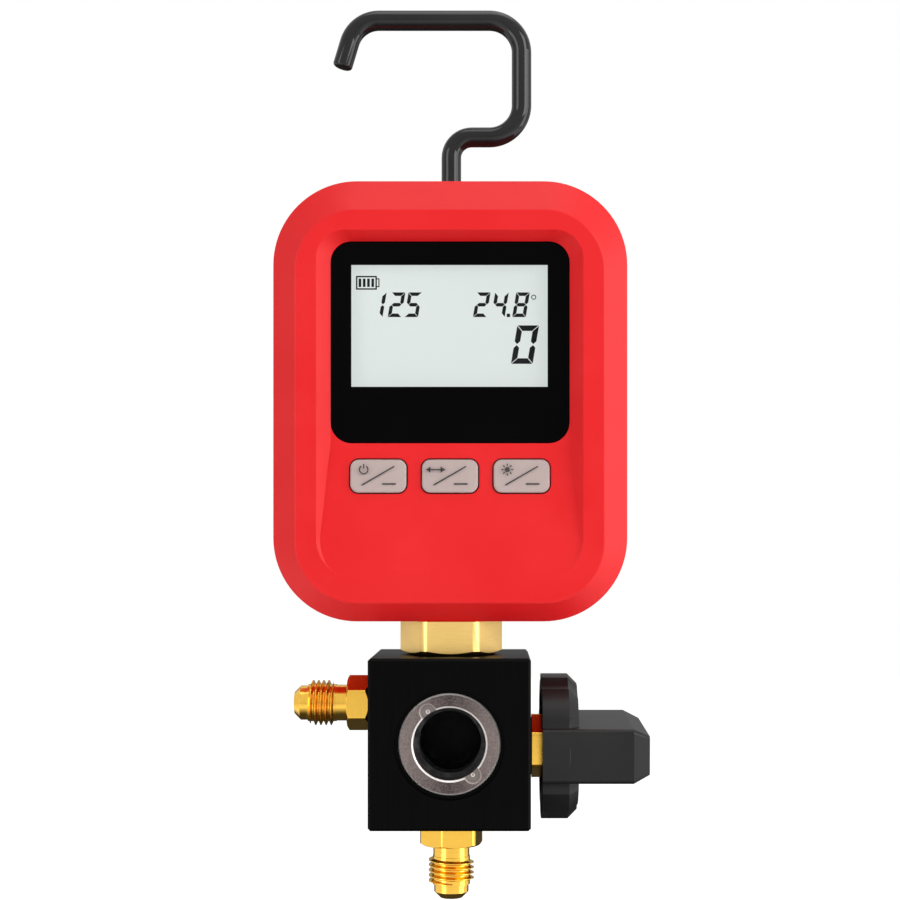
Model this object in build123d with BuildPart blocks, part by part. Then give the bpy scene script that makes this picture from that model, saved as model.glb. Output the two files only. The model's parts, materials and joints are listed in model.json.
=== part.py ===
"""Single valve digital refrigerant manifold gauge on a hanging hook.

Millimetres. +Z is up, the display faces -Y and the valve knob stands out along +X.
The origin is the point where the hook hangs: the underside of its top bar, straight
above the leg, on the axis that the case, the block and the lower union share.
"""

from build123d import *
from math import radians, tan
import os

os.makedirs("parts", exist_ok=True)

# ---------------------------------------------------------------- driving dimensions

# Clearances
slide_gap = 0.3  # between a moving piece and its neighbour
running_gap = 0.05  # radial, a shaft in its bore
fit_gap = 0.1  # between two fixed pieces that are pushed together

# Hook, a bent rod
hook_rod_d = 4.8
hook_rise = 28.6  # lower run to top bar, centre to centre
hook_reach = 17.2  # leg to the upright
hook_arm = 23.3  # leg to the corner of the tip
hook_tip_drop = 11.6
hook_tip_lean = 16.8  # degrees from the vertical
hook_leg = 13.0  # lower run's centre to the top of the case
hook_upper_bend = 7.9
hook_tip_bend = 7.5
hook_leg_bend = 5.0

# Case
case_width = 84.6
case_height = 105.2
case_corner = 20.0
front_depth = 15.0  # parting plane to the front ring
rear_depth = 15.0
wall = 2.4
chamfer_depth = 5.0
chamfer_side = 5.75
chamfer_top = 7.9
chamfer_bottom = 4.6
ring_round = 0.9
rear_round = 4.0
groove_width = 1.2  # for the seal between the shells
groove_depth = 0.8

# Sunk panel in the front
recess_depth = 3.3
recess_side_run = 3.1
recess_top_run = 2.1
recess_bottom_run = 3.1
recess_top_corner = 4.6
recess_bottom_corner = 10.0
panel_length = 31.0  # sloping panel, from under the window to the ring

# Window and display
window_width = 56.7
window_height = 47.9
window_corner = 5.0
window_top_drop = 14.75  # top of the case to the top of the window
window_thickness = 1.3
gasket_thickness = 0.2
window_land = 1.0  # wall left behind the lens to glue it on
lcd_view_width = 47.4
lcd_view_height = 29.7
lcd_view_top_margin = 5.1
lcd_border = 3.3
lcd_thickness = 2.2
backlight_thickness = 2.6

# Push buttons
button_width = 13.3
button_height = 7.9
button_corner = 2.0
button_pitch = 17.0
button_drop = 70.6  # top of the case to the middle of the buttons
button_proud = 0.8
button_travel = 0.6
button_flange = 1.0
button_flange_thickness = 0.8
button_round = 0.5
button_stem_d = 3.2
button_stem_length = 0.8
switch_size = 6.0
switch_plunger = 0.8
switch_plunger_d = 2.8

# Circuit board
board_width = 66.0
board_top_drop = 15.6  # top of the case to the top of the board
board_gap = 0.7  # over the pressure sensor
board_corner = 2.0
board_thickness = 1.6
board_screw_inset = 2.9
board_post_d = 4.6
board_screw_d = 1.8
board_screw_head_d = 3.6
board_screw_head = 1.1
board_screw_depth = 3.0

# Case screws
case_screw_inset = 11.0  # from the sides of the case
case_post_d = 6.6
case_screw_d = 2.6
case_screw_head_d = 5.2
case_screw_head = 2.0
case_screw_grip = 8.0
case_screw_seat = 3.0  # plastic between the head and the parting plane
driver_slot = 0.9

# Battery box
cell_d = 10.4
cell_length = 44.0
cell_count = 3
cell_gap = 0.6
contact_space = 3.0
contact_plate = 0.5
box_floor = 1.2
box_depth_margin = 0.4
cover_lip = 3.0
cover_plate = 1.8
cover_gasket_thickness = 0.5
cover_gasket_width = 2.0
cover_corner = 3.0
cover_screw_d = 2.4
cover_screw_head_d = 4.4
cover_screw_head = 1.2
cover_screw_length = 5.0
cover_slots = 5
cover_slot_pitch = 3.2
cover_slot_length = 22.0
cover_slot_width = 1.4
cover_slot_depth = 0.5

# Hook bearing in the case
bushing_d = 8.4
bushing_flange_d = 12.0
bushing_flange = 2.0
washer_d = 11.0
washer_thickness = 1.0
clip_d = 9.6
clip_thickness = 0.9
clip_groove = 0.8  # depth of the rod's groove
clip_mouth = 3.0
hook_tail = 2.4  # rod left under the clip

# Neck and pressure sensor
neck_gap = 8.3  # case to block
neck_flats = 22.6
neck_corner_flats = 24.8  # across the flats cut on the corners
neck_chamfer = 1.1
spigot_d = 14.0
spigot_length = 9.5
spigot_seat_d = 12.0
spigot_seat_depth = 3.0
neck_thread_d = 16.0
neck_thread_length = 9.0
nut_flats = 17.0
nut_thickness = 4.0
sensor_height = 5.0
sensor_cap_d = 8.0
sensor_cap_height = 2.0
neck_o_ring_section = 1.4

# Valve block
block_width = 38.2
block_depth = 38.0
block_height = 40.4
block_edge = 0.6
passage_d = 4.0

# Sight glass
ring_outer_d = 24.0
ring_inner_d = 17.1
ring_thickness = 5.4
ring_bevel = 0.4
ring_recess_d = 26.0
ring_recess_depth = 1.4
notch_d = 4.1
notch_circle_d = 18.2
notch_depth = 1.0
notch_dimple_d = 1.0
notch_dimple_depth = 0.4
notch_angle = 124.0
notch_angle_second = -53.0
chamber_d = 14.8
chamber_past_axis = 3.0
glass_seat_d = 20.0
glass_washer_thickness = 0.6
glass_thickness = 5.0
glass_seal_thickness = 0.8

# Flare unions, 1/4 inch SAE: 7/16-20 UNF
port_thread_d = 11.11
port_thread_length = 6.9
port_hex = 6.2
port_neck_d = 8.8
port_neck = 2.8
port_nose_d = 8.4
port_nose = 3.3
port_nose_chamfer = 1.5
port_bore_d = 4.8
port_root_d = 11.1
port_root_length = 8.0
port_hex_corner = 0.75  # kept of each corner, over the flats
hex_cone = 60.0  # degrees from the axis, on the rim away from the block
hex_back_cone = 45.0
hex_back_cut = 0.3
port_seal_thickness = 0.5
left_port_flats = 12.0
left_port_rise = 8.2  # above the middle of the block
left_port_turn = 30.0
bottom_port_flats = 14.0
bottom_port_turn = 43.6

# Valve
valve_drop = 2.3  # below the middle of the block
bonnet_thread_d = 12.0
bonnet_thread_length = 5.8
bonnet_flats = 14.0
bonnet_turn = 19.0
bonnet_hex = 4.6
bonnet_seal_thickness = 0.5
valve_cavity_d = 9.0
valve_travel = 2.5
seat_bore_d = 3.4
spindle_d = 6.4
spindle_o_ring_section = 1.5
pad_d = 7.0
pad_thickness = 1.5
pad_gap = 0.1
seat_gap = 0.1
slant_offset = 1.7
spindle_square = 4.4
socket_depth = 6.0

# Knob
knob_gap = 2.8  # block face to the back of the flange
knob_d = 35.3
knob_flange = 8.7
knob_dish_d = 27.0
knob_dish_depth = 4.4
knob_hub_d = 13.0
knob_hub_setback = 3.2  # back of the hub inside the dish
knob_lobes = 8
knob_lobe_cut_d = 12.0
knob_lobe_cut = 0.9
grip_length = 35.0
grip_width = 13.0
grip_height = 16.6
grip_crown = 3.9  # length of the bar's narrowing end
grip_crown_cut = 1.9
grip_turn = 2.4  # degrees about the valve axis
grip_round = 1.2
knob_rim_chamfer = 2.3
knob_screw_d = 2.8
knob_screw_floor = 2.0
knob_screw_grip = 7.0
knob_screw_head_d = 5.6
knob_screw_head = 2.4
knob_cap_d = 7.0
knob_cap_thickness = 1.2

# ---------------------------------------------------------------- places

hook_radius = hook_rod_d / 2
bar_z = hook_radius
run_z = bar_z - hook_rise
case_top = run_z - hook_leg
case_bottom = case_top - case_height
case_mid = (case_top + case_bottom) / 2
block_top = case_bottom - neck_gap
block_bottom = block_top - block_height
block_mid = (block_top + block_bottom) / 2
valve_z = block_mid - valve_drop
left_port_z = block_mid + left_port_rise
button_z = case_top - button_drop
window_top = case_top - window_top_drop
window_mid = window_top - window_height / 2
lcd_mid = window_top - lcd_view_top_margin - lcd_view_height / 2

# Heights towards the viewer, measured from the parting plane
rim_height = front_depth - chamfer_depth
floor_height = front_depth - recess_depth
lens_seat = floor_height - window_thickness - gasket_thickness
inner_front = lens_seat - window_land
lcd_back = inner_front - lcd_thickness
board_front = lcd_back - backlight_thickness
board_back = board_front - board_thickness

case_front = Plane(origin=(0, 0, case_mid), x_dir=(1, 0, 0), z_dir=(0, -1, 0))
case_rear = Plane(origin=(0, 0, case_mid), x_dir=(-1, 0, 0), z_dir=(0, 1, 0))

post_places = GridLocations(
    case_width - 2 * case_screw_inset, case_height - 2 * case_screw_inset, 2, 2
)

# The board hangs between the top of the case and the pressure sensor
spigot_top = case_bottom + spigot_length
sensor_z = spigot_top - spigot_seat_depth + neck_o_ring_section
sensor_top = sensor_z + sensor_height + sensor_cap_height
board_top = case_top - board_top_drop
board_bottom = sensor_top + board_gap
board_height = board_top - board_bottom
board_mid = (board_top + board_bottom) / 2
board_places = GridLocations(
    board_width - 2 * board_screw_inset, board_height - 2 * board_screw_inset, 2, 2
)


def on_front(height, z):
    """Plane that faces the viewer at a height over the parting plane, centred on z."""
    return Plane(origin=(0, -height, z), x_dir=(1, 0, 0), z_dir=(0, -1, 0))


def on_top(z):
    """Plane that faces up at z, centred on the common axis."""
    return Plane(origin=(0, 0, z), x_dir=(1, 0, 0), z_dir=(0, 0, 1))


# ---------------------------------------------------------------- hook

tail_z = case_top - wall - bushing_flange - slide_gap - washer_thickness - clip_thickness
tail_z -= hook_tail
clip_z = tail_z + hook_tail
tip_run = hook_tip_drop * tan(radians(hook_tip_lean))

with BuildPart() as hook_rod:
    with BuildLine(Plane.XZ) as hook_path:
        FilletPolyline(
            (0, tail_z),
            (0, run_z),
            (hook_reach, run_z),
            (hook_reach, bar_z),
            (-hook_arm, bar_z),
            (-hook_arm - tip_run, bar_z - hook_tip_drop),
            radius=[hook_leg_bend, hook_upper_bend, hook_upper_bend, hook_tip_bend],
        )
    with BuildSketch(on_top(tail_z)):
        Circle(hook_radius)
    sweep()
    # the tip's end is rounded off, and the leg has a groove for its clip
    fillet(hook_rod.faces().sort_by(Axis.X)[0].edges(), hook_radius * 0.35)
    with BuildSketch(on_top(clip_z)):
        Circle(hook_rod_d)
        Circle(hook_radius - clip_groove, mode=Mode.SUBTRACT)
    extrude(amount=clip_thickness, mode=Mode.SUBTRACT)
hook_rod.part.label = "hook_rod"
export_step(hook_rod.part, "parts/hook_rod.step")

with BuildPart() as hook_clip:
    with BuildSketch(on_top(clip_z)):
        Circle(clip_d / 2)
        Circle(hook_radius - clip_groove, mode=Mode.SUBTRACT)
        with Locations((0, -clip_d / 2)):
            Rectangle(clip_mouth, clip_d, mode=Mode.SUBTRACT)
    extrude(amount=clip_thickness)
hook_clip.part.label = "hook_clip"
export_step(hook_clip.part, "parts/hook_clip.step")

with BuildPart() as hook_washer:
    with BuildSketch(on_top(clip_z + clip_thickness)):
        Circle(washer_d / 2)
        Circle(hook_radius, mode=Mode.SUBTRACT)
    extrude(amount=washer_thickness)
hook_washer.part.label = "hook_washer"
export_step(hook_washer.part, "parts/hook_washer.step")

with BuildPart() as hook_bushing:
    with BuildSketch(on_top(case_top - wall - bushing_flange)):
        Circle(bushing_flange_d / 2)
    extrude(amount=bushing_flange)
    with BuildSketch(on_top(case_top - wall)):
        Circle(bushing_d / 2)
    extrude(amount=wall)
    with BuildSketch(on_top(case_top - wall - bushing_flange)):
        Circle(hook_radius + running_gap)
    extrude(amount=wall + bushing_flange, mode=Mode.SUBTRACT)
hook_bushing.part.label = "hook_bushing"
export_step(hook_bushing.part, "parts/hook_bushing.step")

# ---------------------------------------------------------------- front shell

floor_width = window_width + 2 * fit_gap
floor_top = window_top + fit_gap
mouth_top = floor_top + recess_top_run
panel_top = window_top - window_height - fit_gap
panel_bottom = panel_top - panel_length
mouth_bottom = panel_bottom - recess_bottom_run / 2
floor_bottom = mouth_bottom + recess_bottom_run
panel_slope = recess_depth / panel_length

with BuildPart() as recess:
    with BuildSketch(on_front(floor_height, (floor_top + floor_bottom) / 2)) as recess_floor:
        Rectangle(floor_width, floor_top - floor_bottom)
        fillet(recess_floor.vertices().group_by(Axis.Y)[-1], recess_top_corner)
        fillet(recess_floor.vertices().group_by(Axis.Y)[0], recess_bottom_corner)
    with BuildSketch(on_front(front_depth, (mouth_top + mouth_bottom) / 2)) as recess_mouth:
        Rectangle(floor_width + 2 * recess_side_run, mouth_top - mouth_bottom)
        fillet(recess_mouth.vertices().group_by(Axis.Y)[-1], recess_top_corner + recess_top_run)
        fillet(recess_mouth.vertices().group_by(Axis.Y)[0], recess_bottom_corner)
    loft()
    # under the window the floor climbs to the ring
    with BuildSketch(Plane.YZ):
        with BuildLine():
            Polyline(
                (-floor_height, panel_top),
                (-front_depth, panel_bottom),
                (-front_depth, mouth_bottom - wall),
                (-floor_height, mouth_bottom - wall),
                close=True,
            )
        make_face()
    extrude(amount=case_width, both=True, mode=Mode.SUBTRACT)


def panel_height(z):
    """Height of the sloping panel over the parting plane at z."""
    return floor_height + (panel_top - z) * panel_slope


ring_shift = (chamfer_bottom - chamfer_top) / 2
neck_hole_d = spigot_d + 2 * fit_gap

with BuildPart() as front_case:
    with BuildSketch(case_front):
        RectangleRounded(case_width, case_height, case_corner)
    extrude(amount=rim_height)
    with BuildSketch(case_front.offset(rim_height)):
        RectangleRounded(case_width, case_height, case_corner)
    with BuildSketch(case_front.offset(front_depth)):
        with Locations((0, ring_shift)):
            RectangleRounded(
                case_width - 2 * chamfer_side,
                case_height - chamfer_top - chamfer_bottom,
                case_corner - chamfer_side,
            )
    loft()
    fillet(front_case.edges().group_by(Axis.Y)[0], ring_round)
    add(recess.part, mode=Mode.SUBTRACT)
    # hollow, with the posts left standing
    with BuildSketch(case_front):
        RectangleRounded(case_width - 2 * wall, case_height - 2 * wall, case_corner - wall)
    extrude(amount=inner_front, mode=Mode.SUBTRACT)
    with BuildSketch(case_front):
        with post_places:
            Circle(case_post_d / 2)
    extrude(amount=inner_front)
    with BuildSketch(on_front(board_front, board_mid)):
        with board_places:
            Circle(board_post_d / 2)
    extrude(amount=inner_front - board_front)
    with BuildSketch(case_front):
        with post_places:
            Circle(case_screw_d / 2)
    extrude(amount=case_screw_grip, mode=Mode.SUBTRACT)
    with BuildSketch(on_front(board_front, board_mid)):
        with board_places:
            Circle(board_screw_d / 2)
    extrude(amount=board_screw_depth, mode=Mode.SUBTRACT)
    # seat for the lens, and the opening behind it
    with BuildSketch(on_front(lens_seat, window_mid)):
        RectangleRounded(window_width + 2 * fit_gap, window_height + 2 * fit_gap, window_corner)
    extrude(amount=front_depth - lens_seat, mode=Mode.SUBTRACT)
    with BuildSketch(on_front(inner_front, lcd_mid)):
        Rectangle(lcd_view_width, lcd_view_height)
    extrude(amount=lens_seat - inner_front, mode=Mode.SUBTRACT)
    # button openings
    with BuildSketch(on_front(inner_front, button_z)):
        with GridLocations(button_pitch, 0, 3, 1):
            RectangleRounded(
                button_width + 2 * slide_gap,
                button_height + 2 * slide_gap,
                button_corner + slide_gap,
            )
    extrude(amount=front_depth - inner_front, mode=Mode.SUBTRACT)
    # half holes for the hook bushing and the sensor neck
    with BuildSketch(on_top(case_top - wall)):
        Circle(bushing_d / 2)
    extrude(amount=wall, mode=Mode.SUBTRACT)
    with BuildSketch(on_top(case_bottom)):
        Circle(neck_hole_d / 2)
    extrude(amount=wall, mode=Mode.SUBTRACT)
front_case.part.label = "front_case"
export_step(front_case.part, "parts/front_case.step")

# ---------------------------------------------------------------- rear shell and battery box

box_width = cell_count * cell_d + (cell_count + 1) * cell_gap
box_length = cell_length + 2 * contact_space
cover_thickness = cover_plate + cover_gasket_thickness
cover_width = box_width + 2 * cover_lip
cover_length = box_length + 4 * cover_lip
cover_ledge = 2 * cover_lip - cover_gasket_width  # bare ledge inside the gasket
box_depth = cover_thickness + cell_d + 2 * box_depth_margin
cover_screw_z = (box_length + cover_ledge) / 2

with BuildPart() as rear_case:
    with BuildSketch(case_rear):
        RectangleRounded(case_width, case_height, case_corner)
    extrude(amount=rear_depth)
    fillet(rear_case.faces().sort_by(Axis.Y)[-1].edges(), rear_round)
    with BuildSketch(case_rear):
        RectangleRounded(case_width - 2 * wall, case_height - 2 * wall, case_corner - wall)
    extrude(amount=rear_depth - wall, mode=Mode.SUBTRACT)
    # box that holds the cells, open to the rear
    with BuildSketch(case_rear.offset(rear_depth - box_depth - box_floor)):
        RectangleRounded(cover_width + wall, cover_length + wall, cover_corner + wall / 2)
    extrude(amount=box_depth + box_floor - wall / 2)
    with BuildSketch(case_rear.offset(rear_depth - box_depth)):
        Rectangle(box_width, box_length)
    extrude(amount=box_depth, mode=Mode.SUBTRACT)
    with BuildSketch(case_rear.offset(rear_depth - cover_thickness)):
        RectangleRounded(cover_width + 2 * fit_gap, cover_length + 2 * fit_gap, cover_corner)
    extrude(amount=cover_thickness, mode=Mode.SUBTRACT)
    with BuildSketch(case_rear.offset(rear_depth - cover_thickness)):
        with GridLocations(0, 2 * cover_screw_z, 1, 2):
            Circle(cover_screw_d / 2)
    extrude(amount=-cover_screw_length, mode=Mode.SUBTRACT)
    # posts for the case screws, with a well for each head
    with BuildSketch(case_rear):
        with post_places:
            Circle(case_screw_head_d / 2 + 1.4)
    extrude(amount=rear_depth - wall)
    with BuildSketch(case_rear.offset(case_screw_seat)):
        with post_places:
            Circle(case_screw_head_d / 2 + slide_gap)
    extrude(amount=rear_depth, mode=Mode.SUBTRACT)
    with BuildSketch(case_rear):
        with post_places:
            Circle(case_screw_d / 2)
    extrude(amount=case_screw_seat, mode=Mode.SUBTRACT)
    # groove for the case seal, in the middle of the wall
    seal_inset = (wall - groove_width) / 2
    with BuildSketch(case_rear):
        RectangleRounded(
            case_width - 2 * seal_inset,
            case_height - 2 * seal_inset,
            case_corner - seal_inset,
        )
        RectangleRounded(
            case_width - 2 * seal_inset - 2 * groove_width,
            case_height - 2 * seal_inset - 2 * groove_width,
            case_corner - seal_inset - groove_width,
            mode=Mode.SUBTRACT,
        )
    extrude(amount=groove_depth, mode=Mode.SUBTRACT)
    with BuildSketch(on_top(case_top - wall)):
        Circle(bushing_d / 2)
    extrude(amount=wall, mode=Mode.SUBTRACT)
    with BuildSketch(on_top(case_bottom)):
        Circle(neck_hole_d / 2)
    extrude(amount=wall, mode=Mode.SUBTRACT)
rear_case.part.label = "rear_case"
export_step(rear_case.part, "parts/rear_case.step")

with BuildPart() as case_seal:
    with BuildSketch(case_rear):
        RectangleRounded(
            case_width - 2 * seal_inset,
            case_height - 2 * seal_inset,
            case_corner - seal_inset,
        )
        RectangleRounded(
            case_width - 2 * seal_inset - 2 * groove_width,
            case_height - 2 * seal_inset - 2 * groove_width,
            case_corner - seal_inset - groove_width,
            mode=Mode.SUBTRACT,
        )
    extrude(amount=groove_depth)
    # it stops short of the bushing and the neck, which seal on their own
    with BuildSketch(on_top(case_top - wall)):
        Circle(bushing_d / 2)
    extrude(amount=wall, mode=Mode.SUBTRACT)
    with BuildSketch(on_top(case_bottom)):
        Circle(neck_hole_d / 2)
    extrude(amount=wall, mode=Mode.SUBTRACT)
case_seal.part.label = "case_seal"
export_step(case_seal.part, "parts/case_seal.step")

with BuildPart() as case_screws:
    with BuildSketch(case_rear.offset(case_screw_seat)):
        with post_places:
            Circle(case_screw_head_d / 2)
    extrude(amount=case_screw_head)
    with BuildSketch(case_rear.offset(case_screw_seat)):
        with post_places:
            Circle(case_screw_d / 2)
    extrude(amount=-case_screw_seat - case_screw_grip)
    with BuildSketch(case_rear.offset(case_screw_seat + case_screw_head)):
        with post_places:
            Rectangle(case_screw_head_d * 0.7, driver_slot)
            Rectangle(driver_slot, case_screw_head_d * 0.7)
    extrude(amount=-case_screw_head / 2, mode=Mode.SUBTRACT)
case_screws.part.label = "case_screws"
export_step(case_screws.part, "parts/case_screws.step")

# ---------------------------------------------------------------- battery parts

with BuildPart() as battery_cells:
    with BuildSketch(on_top(case_mid - cell_length / 2)):
        with Locations((0, rear_depth - box_depth + box_depth_margin + cell_d / 2)):
            with GridLocations(cell_d + cell_gap, 0, cell_count, 1):
                Circle(cell_d / 2)
    extrude(amount=cell_length)
    fillet(battery_cells.edges().filter_by(GeomType.CIRCLE), 0.8)
battery_cells.part.label = "battery_cells"
export_step(battery_cells.part, "parts/battery_cells.step")

cell_y = rear_depth - box_depth + box_depth_margin + cell_d / 2
spring_reach = contact_space - contact_plate

with BuildPart() as battery_contacts:
    for side in (1, -1):
        box_end = Plane(
            origin=(0, cell_y, case_mid + side * box_length / 2),
            x_dir=(1, 0, 0),
            z_dir=(0, 0, -side),
        )
        with BuildSketch(box_end):
            Rectangle(box_width - 2 * fit_gap, cell_d)
        extrude(amount=contact_plate)
        with BuildSketch(box_end.offset(contact_plate)):
            with GridLocations(cell_d + cell_gap, 0, cell_count, 1):
                Circle(cell_d * 0.36)
        extrude(amount=spring_reach, taper=18)
battery_contacts.part.label = "battery_contacts"
export_step(battery_contacts.part, "parts/battery_contacts.step")

with BuildPart() as cover_gasket:
    with BuildSketch(case_rear.offset(rear_depth - cover_thickness)):
        RectangleRounded(cover_width, cover_length, cover_corner)
        RectangleRounded(
            cover_width - 2 * cover_gasket_width,
            cover_length - 2 * cover_gasket_width,
            cover_corner - cover_gasket_width / 2,
            mode=Mode.SUBTRACT,
        )
    extrude(amount=cover_gasket_thickness)
cover_gasket.part.label = "cover_gasket"
export_step(cover_gasket.part, "parts/cover_gasket.step")

cover_screw_places = GridLocations(0, 2 * cover_screw_z, 1, 2)

with BuildPart() as battery_cover:
    with BuildSketch(case_rear.offset(rear_depth - cover_plate)):
        RectangleRounded(cover_width, cover_length, cover_corner)
    extrude(amount=cover_plate)
    # pads round the screws carry it on the ledge, inside the gasket
    with BuildSketch(case_rear.offset(rear_depth - cover_plate)):
        with cover_screw_places:
            Circle(cover_ledge / 2 - fit_gap)
    extrude(amount=-cover_gasket_thickness)
    with BuildSketch(case_rear.offset(rear_depth)):
        with cover_screw_places:
            Circle(cover_screw_head_d / 2 + fit_gap)
    extrude(amount=-cover_screw_head, mode=Mode.SUBTRACT)
    with BuildSketch(case_rear.offset(rear_depth)):
        with cover_screw_places:
            Circle(cover_screw_d / 2)
    extrude(amount=-cover_thickness, mode=Mode.SUBTRACT)
    # shallow slots to grip it by
    with BuildSketch(case_rear.offset(rear_depth)):
        with GridLocations(0, cover_slot_pitch, 1, cover_slots):
            SlotOverall(cover_slot_length, cover_slot_width)
    extrude(amount=-cover_slot_depth, mode=Mode.SUBTRACT)
battery_cover.part.label = "battery_cover"
export_step(battery_cover.part, "parts/battery_cover.step")

with BuildPart() as cover_screws:
    with BuildSketch(case_rear.offset(rear_depth)):
        with cover_screw_places:
            Circle(cover_screw_head_d / 2)
    extrude(amount=-cover_screw_head)
    with BuildSketch(case_rear.offset(rear_depth - cover_screw_head)):
        with cover_screw_places:
            Circle(cover_screw_d / 2)
    extrude(amount=cover_screw_head - cover_thickness - cover_screw_length)
    with BuildSketch(case_rear.offset(rear_depth)):
        with cover_screw_places:
            Rectangle(cover_screw_head_d * 0.7, driver_slot)
            Rectangle(driver_slot, cover_screw_head_d * 0.7)
    extrude(amount=-cover_screw_head / 2, mode=Mode.SUBTRACT)
cover_screws.part.label = "cover_screws"
export_step(cover_screws.part, "parts/cover_screws.step")

# ---------------------------------------------------------------- window and display

with BuildPart() as window_gasket:
    with BuildSketch(on_front(lens_seat, window_mid)):
        RectangleRounded(window_width, window_height, window_corner)
        with Locations((0, lcd_mid - window_mid)):
            Rectangle(lcd_view_width, lcd_view_height, mode=Mode.SUBTRACT)
    extrude(amount=gasket_thickness)
window_gasket.part.label = "window_gasket"
export_step(window_gasket.part, "parts/window_gasket.step")

with BuildPart() as display_window:
    with BuildSketch(on_front(lens_seat + gasket_thickness, window_mid)):
        RectangleRounded(window_width, window_height, window_corner)
    extrude(amount=window_thickness)
display_window.part.label = "display_window"
export_step(display_window.part, "parts/display_window.step")

with BuildPart() as lcd_panel:
    with BuildSketch(on_front(lcd_back, lcd_mid)):
        Rectangle(lcd_view_width + 2 * lcd_border, lcd_view_height + 2 * lcd_border)
    extrude(amount=lcd_thickness)
lcd_panel.part.label = "lcd_panel"
export_step(lcd_panel.part, "parts/lcd_panel.step")

with BuildPart() as backlight:
    with BuildSketch(on_front(board_front, lcd_mid)):
        Rectangle(lcd_view_width + 2 * lcd_border, lcd_view_height + 2 * lcd_border)
    extrude(amount=backlight_thickness)
backlight.part.label = "backlight"
export_step(backlight.part, "parts/backlight.step")

# ---------------------------------------------------------------- circuit board and keys

with BuildPart() as circuit_board:
    with BuildSketch(on_front(board_back, board_mid)):
        RectangleRounded(board_width, board_height, board_corner)
        with board_places:
            Circle(board_screw_d / 2, mode=Mode.SUBTRACT)
    extrude(amount=board_thickness)
circuit_board.part.label = "circuit_board"
export_step(circuit_board.part, "parts/circuit_board.step")

with BuildPart() as board_screws:
    with BuildSketch(on_front(board_back - board_screw_head, board_mid)):
        with board_places:
            Circle(board_screw_head_d / 2)
    extrude(amount=board_screw_head)
    with BuildSketch(on_front(board_back, board_mid)):
        with board_places:
            Circle(board_screw_d / 2)
    extrude(amount=board_thickness + board_screw_depth)
    with BuildSketch(on_front(board_back - board_screw_head, board_mid)):
        with board_places:
            Rectangle(board_screw_head_d * 0.7, driver_slot / 2)
            Rectangle(driver_slot / 2, board_screw_head_d * 0.7)
    extrude(amount=board_screw_head / 2, mode=Mode.SUBTRACT)
board_screws.part.label = "board_screws"
export_step(board_screws.part, "parts/board_screws.step")

flange_top = inner_front - slide_gap
flange_bottom = flange_top - button_flange_thickness
stem_bottom = flange_bottom - button_stem_length
plunger_top = stem_bottom - button_travel - fit_gap

with BuildPart() as button_switches:
    with BuildSketch(on_front(board_front, button_z)):
        with GridLocations(button_pitch, 0, 3, 1):
            Rectangle(switch_size, switch_size)
    extrude(amount=plunger_top - switch_plunger - board_front)
    with BuildSketch(on_front(plunger_top - switch_plunger, button_z)):
        with GridLocations(button_pitch, 0, 3, 1):
            Circle(switch_plunger_d / 2)
    extrude(amount=switch_plunger)
button_switches.part.label = "button_switches"
export_step(button_switches.part, "parts/button_switches.step")

for column, name in enumerate(("button_left", "button_middle", "button_right")):
    button_x = (column - 1) * button_pitch
    with BuildPart() as button:
        with BuildSketch(on_front(flange_bottom, button_z)):
            with Locations((button_x, 0)):
                RectangleRounded(
                    button_width + 2 * button_flange,
                    button_height + 2 * button_flange,
                    button_corner,
                )
        extrude(amount=button_flange_thickness)
        with BuildSketch(on_front(flange_top, button_z)):
            with Locations((button_x, 0)):
                RectangleRounded(button_width, button_height, button_corner)
        extrude(amount=front_depth - flange_top)
        # the face lies along the sloping panel
        upper = button_z + button_height
        lower = button_z - button_height
        with BuildSketch(Plane.YZ):
            with BuildLine():
                Polyline(
                    (-panel_height(upper) - button_proud, upper),
                    (-panel_height(lower) - button_proud, lower),
                    (-2 * front_depth, lower),
                    (-2 * front_depth, upper),
                    close=True,
                )
            make_face()
        extrude(amount=case_width, both=True, mode=Mode.SUBTRACT)
        fillet(button.faces().sort_by(Axis.Y)[0].edges(), button_round)
        with BuildSketch(on_front(flange_bottom, button_z)):
            with Locations((button_x, 0)):
                Circle(button_stem_d / 2)
        extrude(amount=-button_stem_length)
    button.part.label = name
    export_step(button.part, f"parts/{name}.step")

# ---------------------------------------------------------------- neck and pressure sensor

nut_z = case_bottom + wall

with BuildPart() as sensor_neck:
    with BuildSketch(on_top(block_top)):
        RegularPolygon(neck_flats / 2, 6, major_radius=False)
        RegularPolygon(
            neck_corner_flats / 2, 6, major_radius=False, rotation=30, mode=Mode.INTERSECT
        )
    extrude(amount=neck_gap)
    # the hexagon's lower rim is turned off at an angle
    with BuildSketch(Plane.XZ):
        with BuildLine():
            Polyline(
                (neck_flats / 2 - neck_chamfer, block_top),
                (neck_corner_flats / 2 + neck_chamfer, block_top),
                (neck_corner_flats / 2 + neck_chamfer, block_top + neck_chamfer * 1.4),
                close=True,
            )
        make_face()
    revolve(axis=Axis.Z, mode=Mode.SUBTRACT)
    with BuildSketch(on_top(case_bottom)):
        Circle(spigot_d / 2)
    extrude(amount=spigot_length)
    with BuildSketch(on_top(block_top)):
        Circle(neck_thread_d / 2)
    extrude(amount=-neck_thread_length)
    with BuildSketch(on_top(spigot_top)):
        Circle(spigot_seat_d / 2)
    extrude(amount=-spigot_seat_depth, mode=Mode.SUBTRACT)
    with BuildSketch(on_top(spigot_top)):
        Circle(passage_d / 2)
    extrude(amount=block_top - neck_thread_length - spigot_top, mode=Mode.SUBTRACT)
sensor_neck.part.label = "sensor_neck"
export_step(sensor_neck.part, "parts/sensor_neck.step")

with BuildPart() as sensor_nut:
    with BuildSketch(on_top(nut_z)):
        RegularPolygon(nut_flats / 2, 6, major_radius=False)
        Circle(spigot_d / 2, mode=Mode.SUBTRACT)
    extrude(amount=nut_thickness)
sensor_nut.part.label = "sensor_nut"
export_step(sensor_nut.part, "parts/sensor_nut.step")

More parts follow.
